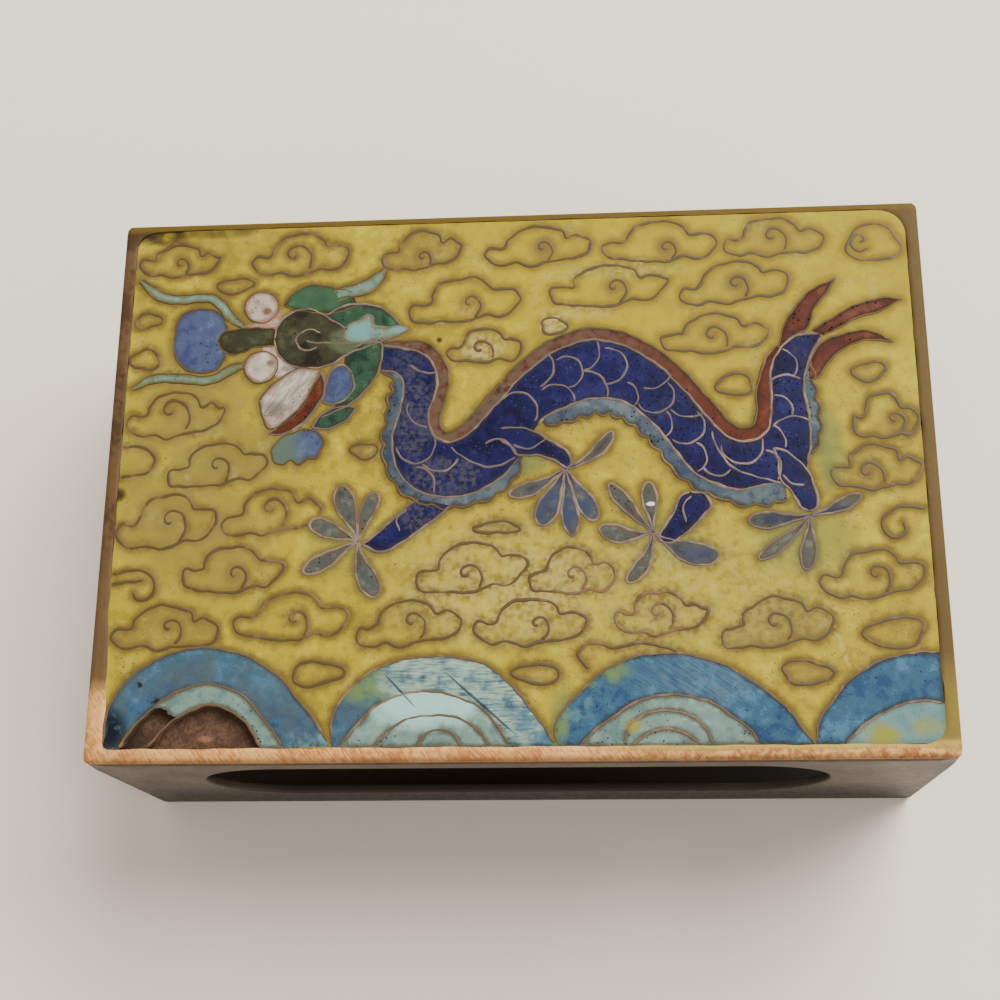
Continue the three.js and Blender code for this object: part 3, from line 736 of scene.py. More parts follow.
# How far the crest and the bellies stand out from the body, at rows of the body.
CREST_REACH = [
    (0, 0.25), (2, 0.85), (5, 0.85), (8, 0.75), (12, 0.85), (16, 0.95), (22, 1.0), (27, 1.1), (29.7, 0.3),
]
BELLY_REACH = {
    "belly_chest": [(0, 0.1), (2, 0.75), (4, 1.0), (6, 0.7), (9, 0.75), (11, 0.85), (11.8, 0.75),
                    (12.6, 0.25)],
    "belly_arch": [(14, 0.6), (14.8, 1.05), (16, 1.25), (18, 1.2), (20, 1.0), (22.5, 0.9), (23.8, 1.5),
                   (24.6, 1.2)],
    "belly_tail": [(25.9, 0.1), (26.6, 0.7), (28, 0.85), (29.2, 0.6), (30, 0.1)],
}
UNDERLAP = 0.5
RIBBON_COLUMNS = 9
SCALLOP_DEPTH = 0.25
SCALLOP_PITCH = 1.4
SCALLOP_FULL = 0.6
# Scales as arcs: middle, radius, and the angles where the arc starts and ends.
SCALES = [
    (3.8, 7.7, 1.2, 122, -77), (1.2, 8.1, 1.65, 36, -60), (3, 5.4, 1.36, 132, 5),
    (0.2, 4.7, 1.48, 139, -26), (4.7, 9.3, 1.55, 23, -72), (5.2, 6.1, 1.6, 92, -8),
    (6.8, 8.1, 1.41, 92, -97), (9.8, 8, 1.75, -97, -30), (7.9, 5.7, 1.1, 68, -38),
    (10.2, 5.7, 1.36, 40, -148), (10.2, 3.5, 1.2, 45, -49), (12.7, 5.9, 1.93, -130, -70),
    (12.3, 3.3, 1.38, 45, -126), (12.6, 0.9, 1.18, 61, -61), (14.5, 0.6, 1.14, -149, -43),
    (16.3, 1.8, 1.5, -172, 9), (18, 1.9, 1.4, 57, -10), (20, 2.1, 1.75, 139, 48),
    (18.8, 4.3, 1.2, 85, -12), (19.7, 5.4, 1.65, 136, 60), (19.2, 7.8, 1.3, 70, -31),
    (-6.3, 9.8, 1.9, -131, -74), (-6.4, 5.1, 1.46, 170, 265), (-7.2, 2.3, 1.44, 194, 376),
    (-7.2, -0.9, 1.45, 81, -13), (-5.5, 1.7, 1.5, -135, -27),
]
SCALE_OVERLAP = 8
SCALE_STEPS = 28
# Strips within the body: the thigh and muscles of the second leg, and the hip of the fourth.
MUSCLES = [
    [(-4.66, 2.08), (-4.09, 1.56), (-3.42, 1.04), (-2.67, 0.66), (-1.91, 0.49), (-1.15, 0.57),
     (-0.49, 0.8), (0.08, 1.18)],
    [(-2.15, 2.23), (-1.81, 2.41), (-1.34, 2.58), (-0.77, 2.46), (-0.3, 2.13), (0.03, 1.7), (0.13, 1.3)],
    [(-0.11, 2.13), (0.27, 1.94), (0.84, 1.82), (1.41, 1.94), (1.88, 2.23), (2.26, 2.51)],
    [(14.2, 2.87), (14.4, 1.83), (14.9, 0.88), (15.55, 0.12), (16.4, -0.4), (17.35, -0.73),
     (18.2, -0.92), (18.95, -1.2)],
    [(17.9, 1.3), (18.5, 1.07), (18.85, 0.6), (19, 0.03), (18.85, -0.63), (18.7, -0.95)],
    [(19.05, -0.54), (19.45, -1.1), (20, -1.34), (20.55, -1.34)],
]
MUSCLE_STEPS = 40
# Rows where the front edge carries a strip: it stops where a leg leaves the body.
FRONT_STRIPS = [(0, 12.15), (13.8, 24.1), (25.6, 32)]
# Spots on the glass: middle, reach on both axes, and weight.
WORN_NAVY = [
    (-7.4, 4.6, 1.9, 4.4, 1), (-5.2, -0.2, 3.6, 2.0, 1), (-8.2, 8.8, 2.0, 1.4, 0.5),
    (-6.8, -3.2, 2.0, 1.6, 1),
]
GREENISH_BELLY = [(17.4, -2.0, 2.4, 1.0, 1), (-1.2, -1.4, 2.0, 1.0, 1)]


def ribbon(line, right, left, columns=RIBBON_COLUMNS):
    """A grid beside a line in plan: columns run from the right reach to the left reach at each point."""
    side = left_of(line)
    share = np.linspace(0, 1, columns)[:, None]
    reach = left * share - right * (1 - share)
    return line[None] + side[None] * reach[..., None]


navy, shader, place, colour = enamel(
    "dark_blue_glass", [(20, 18, 64), (11, 10, 44), (34, 32, 80), (46, 38, 42)], pits=0.17, clear=0.4
)
worn = (place.spots(WORN_NAVY) + place.noise(0.35).ramp(0.56, 0.7) * 0.3).ramp(0.0, 0.8)
colour = (worn * place.noise(3.4, 5.0).ramp(0.34, 0.66) * 0.95).mix(colour, srgb(64, 61, 70))
dust = place.stretched(1.0, 1.0, 1.0, 0.7).specks(1.9, 0.12) * place.noise(0.8).ramp(0.48, 0.62)
colour = (dust * 0.5).mix(colour, srgb(84, 82, 100))
finish(shader, Base_Color=colour)

body_row = np.linspace(0, len(BODY) - 1, BODY_STEPS)
body_edges = spine(BODY, BODY_STEPS)
back, front = body_edges[:, :2], body_edges[:, 2:]
cell("body", [between(back, front, BODY_ROWS)], navy, 3)
wires["dragon"].append(wire(back, half=BODY_WIRE_HALF))
for first, last in FRONT_STRIPS:
    wires["dragon"].append(wire(front[(body_row >= first) & (body_row <= last)], half=BODY_WIRE_HALF))
for x, y, radius, start, stop in SCALES:
    reach = SCALE_OVERLAP * np.sign(stop - start)
    turn = np.radians(np.linspace(start - reach, stop + reach, SCALE_STEPS))
    wires["dragon"].append(wire(np.stack([x + radius * np.cos(turn), y + radius * np.sin(turn)], axis=1)))
wires["dragon"] += [wire(spine(points, MUSCLE_STEPS)) for points in MUSCLES]

red, shader, place, colour = enamel(
    "red_glass", [(86, 38, 22), (66, 28, 16), (100, 56, 38), (60, 40, 24)], pits=0.18
)
dusty = place.axis("X").ramp(16.0, 1.0) * place.axis("X").ramp(-13.0, -11.0)
dusty = dusty * place.noise(1.8, 4.0).ramp(0.28, 0.6)
colour = (dusty * 0.7).mix(colour, srgb(96, 80, 62))
finish(shader, Base_Color=colour)

crest_row, crest_out = np.transpose(CREST_REACH)
pick = body_row <= crest_row[-1]
crest_reach = np.interp(body_row[pick], crest_row, crest_out)
crest = ribbon(back[pick], np.full(len(crest_reach), UNDERLAP), crest_reach)
cell("crest", [crest], red, 1)
wires["cloud"].append(wire(crest[-1]))

pale_blue, shader, place, colour = enamel(
    "pale_blue_glass", [(68, 78, 86), (50, 58, 74), (94, 104, 104), (62, 54, 42)], pits=0.16
)
greenish = place.spots(GREENISH_BELLY) * place.noise(1.2, 3.0).ramp(0.36, 0.56)
colour = greenish.mix(colour, srgb(84, 96, 94))
finish(shader, Base_Color=colour)

for name, reaches in BELLY_REACH.items():
    belly_row, belly_out = np.transpose(reaches)
    pick = (body_row >= belly_row[0]) & (body_row <= belly_row[-1])
    line = front[pick]
    reach = np.interp(body_row[pick], belly_row, belly_out)
    scallop = np.abs(np.sin(np.pi * way_along(line) / SCALLOP_PITCH)) - 0.5
    hem = reach + SCALLOP_DEPTH * scallop * np.minimum(1, reach / SCALLOP_FULL)
    belly = ribbon(line, hem, np.full(len(line), UNDERLAP))
    cell(name, [belly], pale_blue, 1)
    wires["cloud"].append(wire(belly[0]))


# Legs and claws
# Four short legs of the body's dark blue, each ending in an ankle from which narrow claws of pale blue
# glass spread like petals, all outlined in copper strip.

# A leg's two edges from the body to the ankle, then the ankle, and each claw's tip, width and bend.
LEGS = [
    {
        "edges": (
            [(-6.9, -1.9), (-7.8, -2.5), (-8.7, -3.3), (-9.6, -4.2), (-10.9, -5.2)],
            [(-4.6, -2.4), (-6.2, -3.8), (-7.8, -4.9), (-9.4, -5.8), (-10.9, -5.2)],
        ),
        "ankle": (-11.2, -4.95),
        "claws": [(-12.7, -0.8, 1.4, 0), (-10, -1.4, 1.1, 0.04), (-14.7, -3.5, 1.25, 0),
                  (-15, -7.2, 1.15, 0), (-9.7, -9, 1.4, -0.08)],
    },
    {
        "edges": (
            [(-1.06, 3.41), (0.36, 3.46), (1.12, 3.22), (1.88, 2.84), (2.54, 2.41), (3.3, 1.94),
             (3.82, 1.42), (4.06, 0.85), (3.96, 0.43), (3.73, 0.24)],
            [(-1.06, 2.5), (-0.3, 2.0), (0.2, 1.4), (0.93, 1.28), (1.59, 1.28), (2.35, 1.09),
             (3.02, 0.8), (3.73, 0.24)],
        ),
        "ankle": (3.65, 0.2),
        "claws": [(7.1, 3, 0.8, -0.1), (-0.4, -1.7, 0.95, 0.06), (1.8, -4, 1.5, 0), (4.1, -4.8, 1.15, 0),
                  (5.8, -3.7, 1.2, 0)],
    },
    {
        "edges": (
            [(12.5, -1.7), (11.75, -2.1), (11.4, -2.9), (11, -3.7), (10.4, -4.6), (10.1, -5.2)],
            [(12.5, -1.7), (13.4, -1.85), (13.9, -2.7), (13.2, -3.7), (12, -4.8), (10.9, -5.5),
             (10.1, -5.2)],
        ),
        "ankle": (9.8, -4.6),
        "claws": [(6.8, -1, 0.95, 0.03), (9.5, -0.9, 1.0, 0), (6, -4.3, 1.2, 0.1),
                  (7.9, -8.3, 0.95, 0.1), (14.3, -6.5, 1.6, -0.1)],
    },
    {
        "edges": (
            [(18.5, 1.45), (18.8, 0.4), (18.9, -0.9), (19.5, -1.7), (19.95, -2.4), (20.2, -2.95),
             (20.75, -3.3)],
            [(18.5, 1.45), (19.25, 1.26), (19.9, 0.8), (20.55, 0.1), (20.95, -0.6), (21.3, -1.7),
             (21.45, -2.4), (21.2, -3.1), (20.75, -3.3)],
        ),
        "ankle": (20.85, -3.6),
        "claws": [(24.4, -2.1, 0.85, -0.06), (16.5, -3.9, 1.15, 0.03), (17.1, -6.7, 0.85, 0.04),
                  (20.4, -7.6, 1.05, 0)],
    },
]
# Short strips that fold the first and the third leg.
FOLDS = [[(-7.7, -2.6), (-8.4, -3.3), (-8.2, -4.3)], [(12.6, -2), (11.95, -2.8), (12.15, -4)]]
FOLD_STEPS = 24
FIELD_STEPS = 60
FIELD_ROWS = np.linspace(0, 1, 9)
CLAW_ROOT = 0.05
CLAW_WIDEST = 0.7
CLAW_STEPS = 40
CLAW_COLUMNS = 7
CLAW_WIRE_HALF = 0.095
# Spots on the claws: middle, reach on both axes, and weight.
BLUE_CLAWS = [(3.5, -2.6, 3.4, 2.6, 1), (13.0, -6.0, 2.4, 1.6, 0.6)]
DARK_ANKLES = [(9.8, -4.6, 1.6, 1.6, 1), (3.6, 0.2, 1.6, 1.6, 1), (20.8, -3.6, 4.2, 1.2, 1)]


def field(first, second):
    """A grid between two smooth lines that run the same way, straight across from one to the other."""
    return between(spine(first, FIELD_STEPS), spine(second, FIELD_STEPS), FIELD_ROWS)


def claw(root, tip_x, tip_y, width, bend):
    """A petal in plan: half its width rises smoothly from a narrow root to its widest place, nearer the tip,
    and then follows an ellipse to the tip. Its middle is bent aside by a share of its length."""
    root = np.asarray(root, dtype=float)
    way = np.array([tip_x, tip_y]) - root
    share = np.sin(np.linspace(0, np.pi / 2, CLAW_STEPS))
    rise = np.clip(share / CLAW_WIDEST, 0, 1)
    rise = rise * rise * (3 - 2 * rise)
    past = np.clip((share - CLAW_WIDEST) / (1 - CLAW_WIDEST), 0, 1)
    half = (CLAW_ROOT + (width / 2 - CLAW_ROOT) * rise) * np.sqrt(1 - past * past)
    aside = bend * np.sin(np.pi * share)[:, None] * np.array([-way[1], way[0]])
    return ribbon(root + way * share[:, None] + aside, half, half, CLAW_COLUMNS)


def outline(grid, half):
    """A wire along one long edge of a grid in plan, round its tip and back along the other edge."""
    return wire(np.concatenate([grid[0], grid[-1, -2::-1]]), half=half)


claw_blue, shader, place, colour = enamel(
    "claw_blue_glass", [(71, 75, 71), (50, 54, 62), (97, 101, 87), (86, 74, 48)], pits=0.13, clear=0.46
)
bluer = place.spots(BLUE_CLAWS) * place.noise(1.0, 3.0).ramp(0.34, 0.56)
colour = bluer.mix(colour, srgb(54, 62, 84))
colour = (place.spots(DARK_ANKLES) * 0.75).mix(colour, srgb(32, 34, 62))
chipped = place.around(9.7, -2.55, 0.42, 0.2) * place.noise(3.0).ramp(0.36, 0.44)
colour = chipped.mix(colour, srgb(240, 236, 230))
finish(shader, Base_Color=colour)

for number, foot in enumerate(LEGS, start=1):
    leg = field(*foot["edges"])
    cell(f"leg_{number}", [leg], navy, 4)
    claws = [claw(foot["ankle"], *shape) for shape in foot["claws"]]
    cell(f"claws_{number}", claws, claw_blue, 2)
    wires["dragon"] += [wire(leg[0]), wire(leg[-1])] + [outline(grid, CLAW_WIRE_HALF) for grid in claws]
wires["dragon"] += [wire(spine(points, FOLD_STEPS)) for points in FOLDS]


# Tail
# Three tongues of the crest's red glass flare from the end of the tail like flames. Each is a field of its
# own, outlined in thin copper strip.

FLAMES = {
    "tail_flame_1": (
        [(19.2, 9.2), (19.7, 10.9), (20.8, 12.7), (22.1, 13.9), (23.6, 14.6)],
        [(20.4, 10.1), (21.4, 10.7), (21.9, 12.1), (22.8, 13.3), (23.6, 14.6)],
    ),
    "tail_flame_2": (
        [(21.7, 10.5), (23.4, 11.6), (25.4, 12.6), (27.1, 12.95), (28.3, 12.8)],
        [(22.5, 10.1), (23.5, 10.6), (25, 11.4), (26.9, 12), (28.3, 12.8)],
    ),
    "tail_flame_3": (
        [(20.95, 6.6), (21.6, 8.4), (22.6, 9.7), (24.2, 10.2), (25.8, 10.4), (27.4, 9.5)],
        [(20.95, 6.6), (21.8, 6.7), (22.7, 7.9), (23.8, 8.9), (25.2, 9.6), (27.4, 9.5)],
    ),
}
FLAME_WIRE_HALF = 0.08
for name, edges in FLAMES.items():
    flame = field(*edges)
    cell(name, [flame], red, 2)
    wires["cloud"].append(outline(flame, FLAME_WIRE_HALF))


# Head
# Seen from the side and turned to the left: small fields of olive, green, white, blue and red glass, with
# a curl of copper strip on the brow, and aqua whiskers either side of a blue pearl.

# Upper edge, lower edge, how far up the field lies in the stack, and which edges carry a bright strip.
HEAD_FIELDS = {
    "pearl": (
        [(-25.65, 11), (-25.4, 12.7), (-24.6, 13.45), (-23.2, 13.5), (-22.1, 13), (-21.6, 11.9)],
        [(-25.65, 11), (-25.5, 9.7), (-24.8, 8.8), (-23.6, 8.35), (-22.3, 8.5), (-21.6, 9.7)],
        1, "",
    ),
    "snout": (
        [(-22.3, 10.9), (-22, 11.5), (-21, 11.8), (-19.6, 11.85), (-18, 11.85)],
        [(-22.3, 10.9), (-21.9, 10.1), (-21, 9.8), (-20.2, 9.95), (-19.4, 10.3), (-18, 10.4)],
        4, "",
    ),
    "skull": (
        [(-18, 10.9), (-17.7, 12.1), (-16.9, 13), (-15.8, 13.3), (-14.8, 13.05), (-13.6, 12.3),
         (-12, 11.2), (-9.9, 10.5)],
        [(-18, 10.9), (-17.75, 9.8), (-17.1, 9.05), (-16.1, 8.6), (-14.9, 8.5), (-13.7, 8.8),
         (-12.1, 9.7), (-9.9, 10.5)],
        5, "both",
    ),
    "brow": (
        [(-17.4, 13.7), (-16.8, 14.6), (-15.7, 15.2), (-14.4, 15.2), (-13.3, 14.9), (-12.2, 14.6)],
        [(-17.4, 13.7), (-16.6, 13.3), (-15.6, 13.1), (-14.6, 12.9), (-13.3, 13), (-11.8, 13.4)],
        2, "",
    ),
    "temple": (
        [(-14.2, 12.75), (-12.7, 13.5), (-11.3, 13.6), (-10.1, 13.25), (-9.1, 12.5), (-8.5, 11.8)],
        [(-14.2, 12.75), (-13.2, 11.8), (-12.3, 11.4), (-10.9, 11.4), (-9.7, 11.3), (-8.5, 11.8)],
        4, "upper",
    ),
    "ear": (
        [(-12.9, 10.8), (-12.4, 11.9), (-11.6, 12.25), (-11, 12.75), (-10.6, 12.5), (-10.5, 11.85),
         (-9.6, 11.65), (-8.7, 11.75), (-7.9, 11.5)],
        [(-12.9, 10.8), (-12.3, 10.5), (-11, 10.5), (-9.7, 10.65), (-8.6, 11), (-7.9, 11.5)],
        7, "both",
    ),
    "cheek": (
        [(-12, 10.1), (-10.9, 10.5), (-9.95, 10.3), (-9.85, 9.2), (-10.1, 8.2), (-10.7, 7), (-11.6, 6),
         (-12.8, 5.2), (-14.3, 4.5)],
        [(-12, 10.1), (-12.6, 9.4), (-12.6, 8.6), (-12.3, 7.8), (-12.3, 7), (-12.6, 6.2), (-13, 5.7),
         (-13.6, 5.1), (-14.3, 4.5)],
        3, "upper",
    ),
    "tongue": (
        [(-14.2, 5.8), (-14, 6.9), (-13.75, 7.9), (-13.3, 8.6), (-12.6, 8.65), (-12.05, 8)],
        [(-14.2, 5.8), (-13.3, 5.6), (-12.4, 6), (-11.9, 6.9), (-12.05, 8)],
        4, "both",
    ),
    "mouth": (
        [(-18.9, 6), (-18.2, 7), (-17.2, 7.9), (-16, 8.5), (-14.4, 8.4)],
        [(-18.9, 6), (-18.6, 4.7), (-18, 3.8), (-17, 4.1), (-15.9, 5.1), (-15.1, 6.6), (-14.4, 8.4)],
        3, "",
    ),
    "lip": (
        [(-18.1, 3.4), (-17.1, 4.2), (-16, 5.3), (-15.2, 6.6), (-14.3, 8.2)],
        [(-18.1, 3.4), (-17, 3.35), (-15.9, 3.9), (-14.9, 5), (-14.1, 6.5), (-14.3, 8.2)],
        6, "both",
    ),
    "chin": (
        [(-14.9, 3.8), (-14.1, 4.9), (-12.9, 5.35), (-11.7, 5.3)],
        [(-14.9, 3.8), (-14, 3.65), (-12.9, 4), (-12.1, 4.5), (-11.7, 5.3)],
        4, "both",
    ),
    "beard": (
        [(-17.85, 2.1), (-17.2, 3), (-16.2, 3.4), (-15.3, 3.7), (-14.4, 3.4), (-13.9, 2.6)],
        [(-17.85, 2.1), (-17.5, 1.2), (-16.9, 0.95), (-16.4, 1.3), (-15.8, 0.95), (-15.1, 1.4),
         (-14.4, 1.5), (-13.9, 2.6)],
        2, "",
    ),
    "muzzle_upper": (
        [(-20.3, 12), (-19.2, 12.4), (-18.1, 12.9), (-17.5, 13.4)],
        [(-20.3, 12), (-19, 11.7), (-18, 11.6), (-17.5, 12.1)],
        3, "",
    ),
    "muzzle_lower": (
        [(-18.9, 10.35), (-18.1, 10.5), (-17.4, 9.9), (-16.6, 9)],
        [(-18.9, 9.9), (-18.3, 8.4), (-17.4, 7.7), (-16.2, 8.2)],
        2, "",
    ),
}
BRIGHT_ROWS = {"both": (0, -1), "upper": (0,), "": ()}
BRIGHT_WIRE_HALF = 0.09
DULL_WIRE_HALF = 0.07
# Middle line and half width of the narrow fields.
HEAD_STRIPS = {
    "horn": [(-13.6, 14.3, 0.5), (-12.9, 14.55, 0.5), (-11.9, 14.8, 0.5), (-11, 15.1, 0.55),
             (-10.3, 15.7, 0.42), (-9.8, 16.4, 0.15)],
    "whisker_upper": [(-28.6, 16.05, 0.12), (-27.5, 15.1, 0.34), (-26.4, 14.5, 0.36),
                      (-25.1, 14.35, 0.33), (-23.9, 14.5, 0.32), (-22.9, 14.35, 0.34),
                      (-22.1, 13.7, 0.36), (-21.3, 12.7, 0.32), (-20.4, 12, 0.15)],
    "whisker_lower": [(-28.6, 7.15, 0.12), (-27.4, 7.8, 0.3), (-26, 8, 0.34), (-24.6, 7.9, 0.34),
                      (-23.2, 7.7, 0.34), (-22.1, 8, 0.34), (-21.2, 8.5, 0.34), (-20.2, 8.9, 0.2)],
}
STRIP_LAYER = 3
# Middle and radius of the eyes.
EYES = {"eye_upper": (-19.1, 13.55, 1.28), "eye_lower": (-18.9, 8.7, 1.27)}
EYE_LAYER = 5
EYE_STEPS = 48
CURL = [(-9.9, 10.5), (-11.8, 10.4), (-13.7, 10.5), (-15.2, 10.55), (-15.6, 10.75)]
CURL_RING = [
    (-14.5, 11.3), (-15.2, 11.6), (-16, 11.4), (-16.4, 10.8), (-16.1, 10.2), (-15.4, 9.95), (-14.7, 10.2),
]
CURL_STEPS = 40
# Spots on the glass: middle, reach on both axes, and weight.
FLUSHED = [(-18.2, 12.3, 1.2, 0.8, 1), (-17.9, 9.9, 0.7, 0.9, 1)]
PUPILS = [(-18.65, 13.2, 0.5, 0.42, 1), (-18.2, 9.0, 0.42, 0.36, 1)]
GREYED = [(-17.7, 5.3, 1.0, 0.8, 1), (-16.9, 8.5, 0.6, 0.3, 1)]
BRIGHT_AQUA = [(-11.6, 11.3, 1.3, 1.1, 1), (-8.6, 11.4, 1.0, 0.4, 1)]


def strip(points):
    """A ribbon along a smooth line whose third column is its half width."""
    line = spine(points, FIELD_STEPS)
    return ribbon(line[:, :2], line[:, 2], line[:, 2])


def disc(x, y, radius):
    """A circle in plan as a ribbon along its middle, pinched at both ends."""
    along = -np.cos(np.linspace(0, np.pi, EYE_STEPS))
    line = np.stack([x + radius * along, np.full(EYE_STEPS, y)], axis=1)
    half = radius * np.sqrt(np.clip(1 - along**2, 0, 1))
    return ribbon(line, half, half)


green, shader, place, colour = enamel(
    "green_glass", [(44, 70, 49), (26, 48, 34), (64, 96, 68), (50, 46, 32)]
)
colour = (place.around(-14.8, 14.2, 3.0, 1.4).ramp(0.0, 0.8) * 0.5).mix(colour, srgb(66, 98, 68))
finish(shader, Base_Color=colour)

olive, shader, place, colour = enamel(
    "olive_glass", [(51, 50, 33), (33, 29, 18), (68, 68, 46), (48, 38, 24)]
)
lighter = place.around(-11.6, 10.6, 2.8, 1.5).ramp(0.0, 0.6) * place.noise(1.4, 3.0).ramp(0.3, 0.5)
colour = lighter.mix(colour, srgb(78, 86, 58))
finish(shader, Base_Color=colour)

white, shader, place, colour = enamel(
    "white_glass", [(172, 159, 140), (150, 128, 110), (190, 181, 162), (120, 88, 66)]
)
flushed = place.spots(FLUSHED).ramp(0.0, 0.9) * place.noise(1.5, 3.0).ramp(0.3, 0.6)
colour = (flushed * 0.8).mix(colour, srgb(158, 104, 78))
streaks = place.stretched(0.6, 4.0, 1.0, -0.9).noise(1.2, 4.0).ramp(0.38, 0.68)
streaks = place.around(-16.5, 6.5, 3.0, 3.0).ramp(0.0, 0.3) * streaks
colour = (streaks * 0.6).mix(colour, srgb(116, 92, 80))
colour = (place.spots(PUPILS) * 0.75).mix(colour, srgb(88, 50, 40))
colour = (place.spots(GREYED) * 0.7).mix(colour, srgb(88, 84, 72))
finish(shader, Base_Color=colour)

mid_blue, shader, place, colour = enamel(
    "blue_glass", [(70, 78, 106), (56, 62, 96), (86, 98, 120), (66, 66, 66)]
)
aqua_side = place.axis("X").ramp(-14.4, -17.4) + (place.noise(1.0, 4.0) - 0.5) * 0.7
colour = (aqua_side.ramp(0.0, 1.0) * place.axis("Y").ramp(5.0, 4.0)).mix(colour, srgb(82, 96, 82))
finish(shader, Base_Color=colour)

aqua, shader, place, colour = enamel(
    "aqua_glass", [(104, 130, 112), (92, 114, 92), (116, 150, 138), (96, 90, 50)]
)
colour = (place.spots(BRIGHT_AQUA) * 0.8).mix(colour, srgb(100, 148, 144))
finish(shader, Base_Color=colour)

HEAD_GLASS = {
    "blue_enamel": (mid_blue, ["pearl", "beard", "tongue"]),
    "white_enamel": (white, ["mouth", "eye_upper", "eye_lower", "muzzle_upper", "muzzle_lower"]),
    "olive_enamel": (olive, ["snout", "skull"]),
    "turquoise_enamel": (aqua, ["horn", "ear", "whisker_upper", "whisker_lower"]),
    "green_enamel": (green, ["brow", "temple", "cheek", "chin"]),
    "red_enamel": (red, ["lip"]),
}
head_plans = {name: (field(upper, lower), layer) for name, (upper, lower, layer, _) in HEAD_FIELDS.items()}
head_plans |= {name: (strip(points), STRIP_LAYER) for name, points in HEAD_STRIPS.items()}
head_plans |= {name: (disc(*shape), EYE_LAYER) for name, shape in EYES.items()}
for slot, (glass, names) in HEAD_GLASS.items():
    for name in names:
        plan, layer = head_plans[name]
        cell(name, [plan], glass, layer)
        bright_rows = BRIGHT_ROWS[HEAD_FIELDS[name][3]] if name in HEAD_FIELDS else ()
        wires["dragon"] += [wire(plan[i], half=BRIGHT_WIRE_HALF) for i in bright_rows]
        if not bright_rows and not name.startswith("muzzle"):
            wires["cloud"] += [wire(plan[i], half=DULL_WIRE_HALF) for i in (0, -1)]
wires["dragon"] += [wire(spine(points, CURL_STEPS)) for points in (CURL, CURL_RING)]


# Clouds
# Lobed outlines of thin copper strip scattered over the yellow, each one strip that starts in a curl,
# opens to the underside and runs round the cloud. They are dull brown, and the small ones have no curl.

# Left, right, bottom, top, and the middle of the curl.
CLOUDS = [
    (-19.9, -12.5, 16.1, 19.6, -16.8, 17.9), (-10, -4, 16.3, 19.5, -7, 17.4),
    (-7.9, 0.4, 11.9, 15.5, -3.4, 13.5), (-28.7, -22.5, 16.2, 19, -25.6, 17.4),
    (-4.9, 0.6, 8.6, 11.3, -2.6, 9.8), (-28.7, -21.5, 3.2, 6.8, -25.5, 5.4),
    (-25.4, -18.1, -0.6, 2.7, -21.8, 1), (-2.2, 5.8, 16.4, 19.6, 2.1, 17.9),
    (6.7, 15.2, 16.3, 19.7, 11.3, 17.6), (15.6, 23, 16.6, 19.7, 19.2, 18.3),
    (2.6, 11.4, 12.8, 16.2, 7.4, 14.5), (12.3, 20.3, 12.9, 16.2, 16.4, 14.5),
    (10.8, 18.7, 8.9, 12, 14.5, 10.4), (24.2, 28.8, 2, 5.5, 27.2, 3.5), (22.5, 28.8, -1.8, 1.6, 25, -0.4),
    (-28.8, -21.5, -5.3, -1.2, -25, -3.1), (-21.1, -14, -4.3, -0.9, -17.6, -2.3),
    (-23.8, -16.5, -8.7, -5.2, -20, -7.2), (-28.6, -20.9, -12.7, -9.5, -24.5, -11),
    (-19.8, -11.6, -12.2, -8.7, -15.5, -10.6), (-11.1, -3.7, -12.6, -9.4, -7.2, -10.8),
    (-7, 0.9, -8.9, -5.2, -3.4, -7.4), (-2.8, 5.1, -12.7, -9.4, 1.6, -11.1),
    (1.1, 7.1, -9.1, -5.7, 4.1, -7.6), (7, 13.4, -12.1, -9, 10, -10.4), (14.3, 22, -13, -9.5, 18, -11.2),
    (21.3, 28.5, -9.7, -6.2, 25.1, -7.9),
]
# Small clouds: middle, width and height.
PUFFS = [
    (-21.2, 15.4, 3, 1.3), (-27.7, 12.7, 2, 1.4), (-27.7, 9.5, 2.3, 1.8), (-10.9, 1.9, 2.1, 1.3),
    (2.9, 11.4, 2.2, 1.3), (16, 6.4, 3, 1.7), (25.6, 7.2, 2.6, 1.5), (-13.8, -14.5, 3.7, 1.9),
    (-1.2, -4.1, 3.2, 1.0), (1.6, -14.7, 3.4, 1.5), (20, -14.8, 3.8, 1.7), (26.6, 17.4, 4.6, 3),
    (26.1, -12.1, 4.6, 2.2),
]
# Clouds cut off by the rim or lying on a wave.
OPEN_CLOUDS = [
    [(-28.9, 2.6), (-27.4, 2.5), (-26.4, 1.7), (-26.8, 0.7), (-28.9, 0.2)],
    [(-28.9, -7.1), (-27.2, -6.8), (-26.2, -7.2), (-25.7, -8.2), (-26.2, -9), (-27, -8.9), (-27.3, -8.5)],
    [(-28.9, -7.9), (-27.8, -7.7), (-26.6, -7.6)],
    [(28.8, -3.2), (27, -3.1), (25.7, -4.2), (26.4, -5.3), (27.4, -4.9), (27.2, -4.2)],
    [(25.6, 17.5), (25.95, 17.7), (25.8, 18.15), (25.2, 18.1), (25, 17.4), (25.5, 16.8), (26.2, 17)],
    [(11.2, -13.2), (9, -12.6), (7, -12.9), (5.4, -12.6), (4.4, -13.3), (5.1, -14.4)],
]
# One cloud in units of half its width and height, from where the curl meets the underside, clockwise.
CLOUD = np.array([
    (0.12, -0.9), (-0.14, -1), (-0.42, -0.9), (-0.68, -1), (-0.92, -0.92), (-1, -0.56), (-0.92, -0.24),
    (-0.72, -0.18), (-0.6, -0.02), (-0.56, 0.36), (-0.4, 0.78), (-0.1, 1), (0.22, 0.96), (0.44, 0.7),
    (0.53, 0.38), (0.72, 0.46), (0.93, 0.28), (1, -0.14), (0.92, -0.56), (0.68, -0.84), (0.4, -0.76),
])
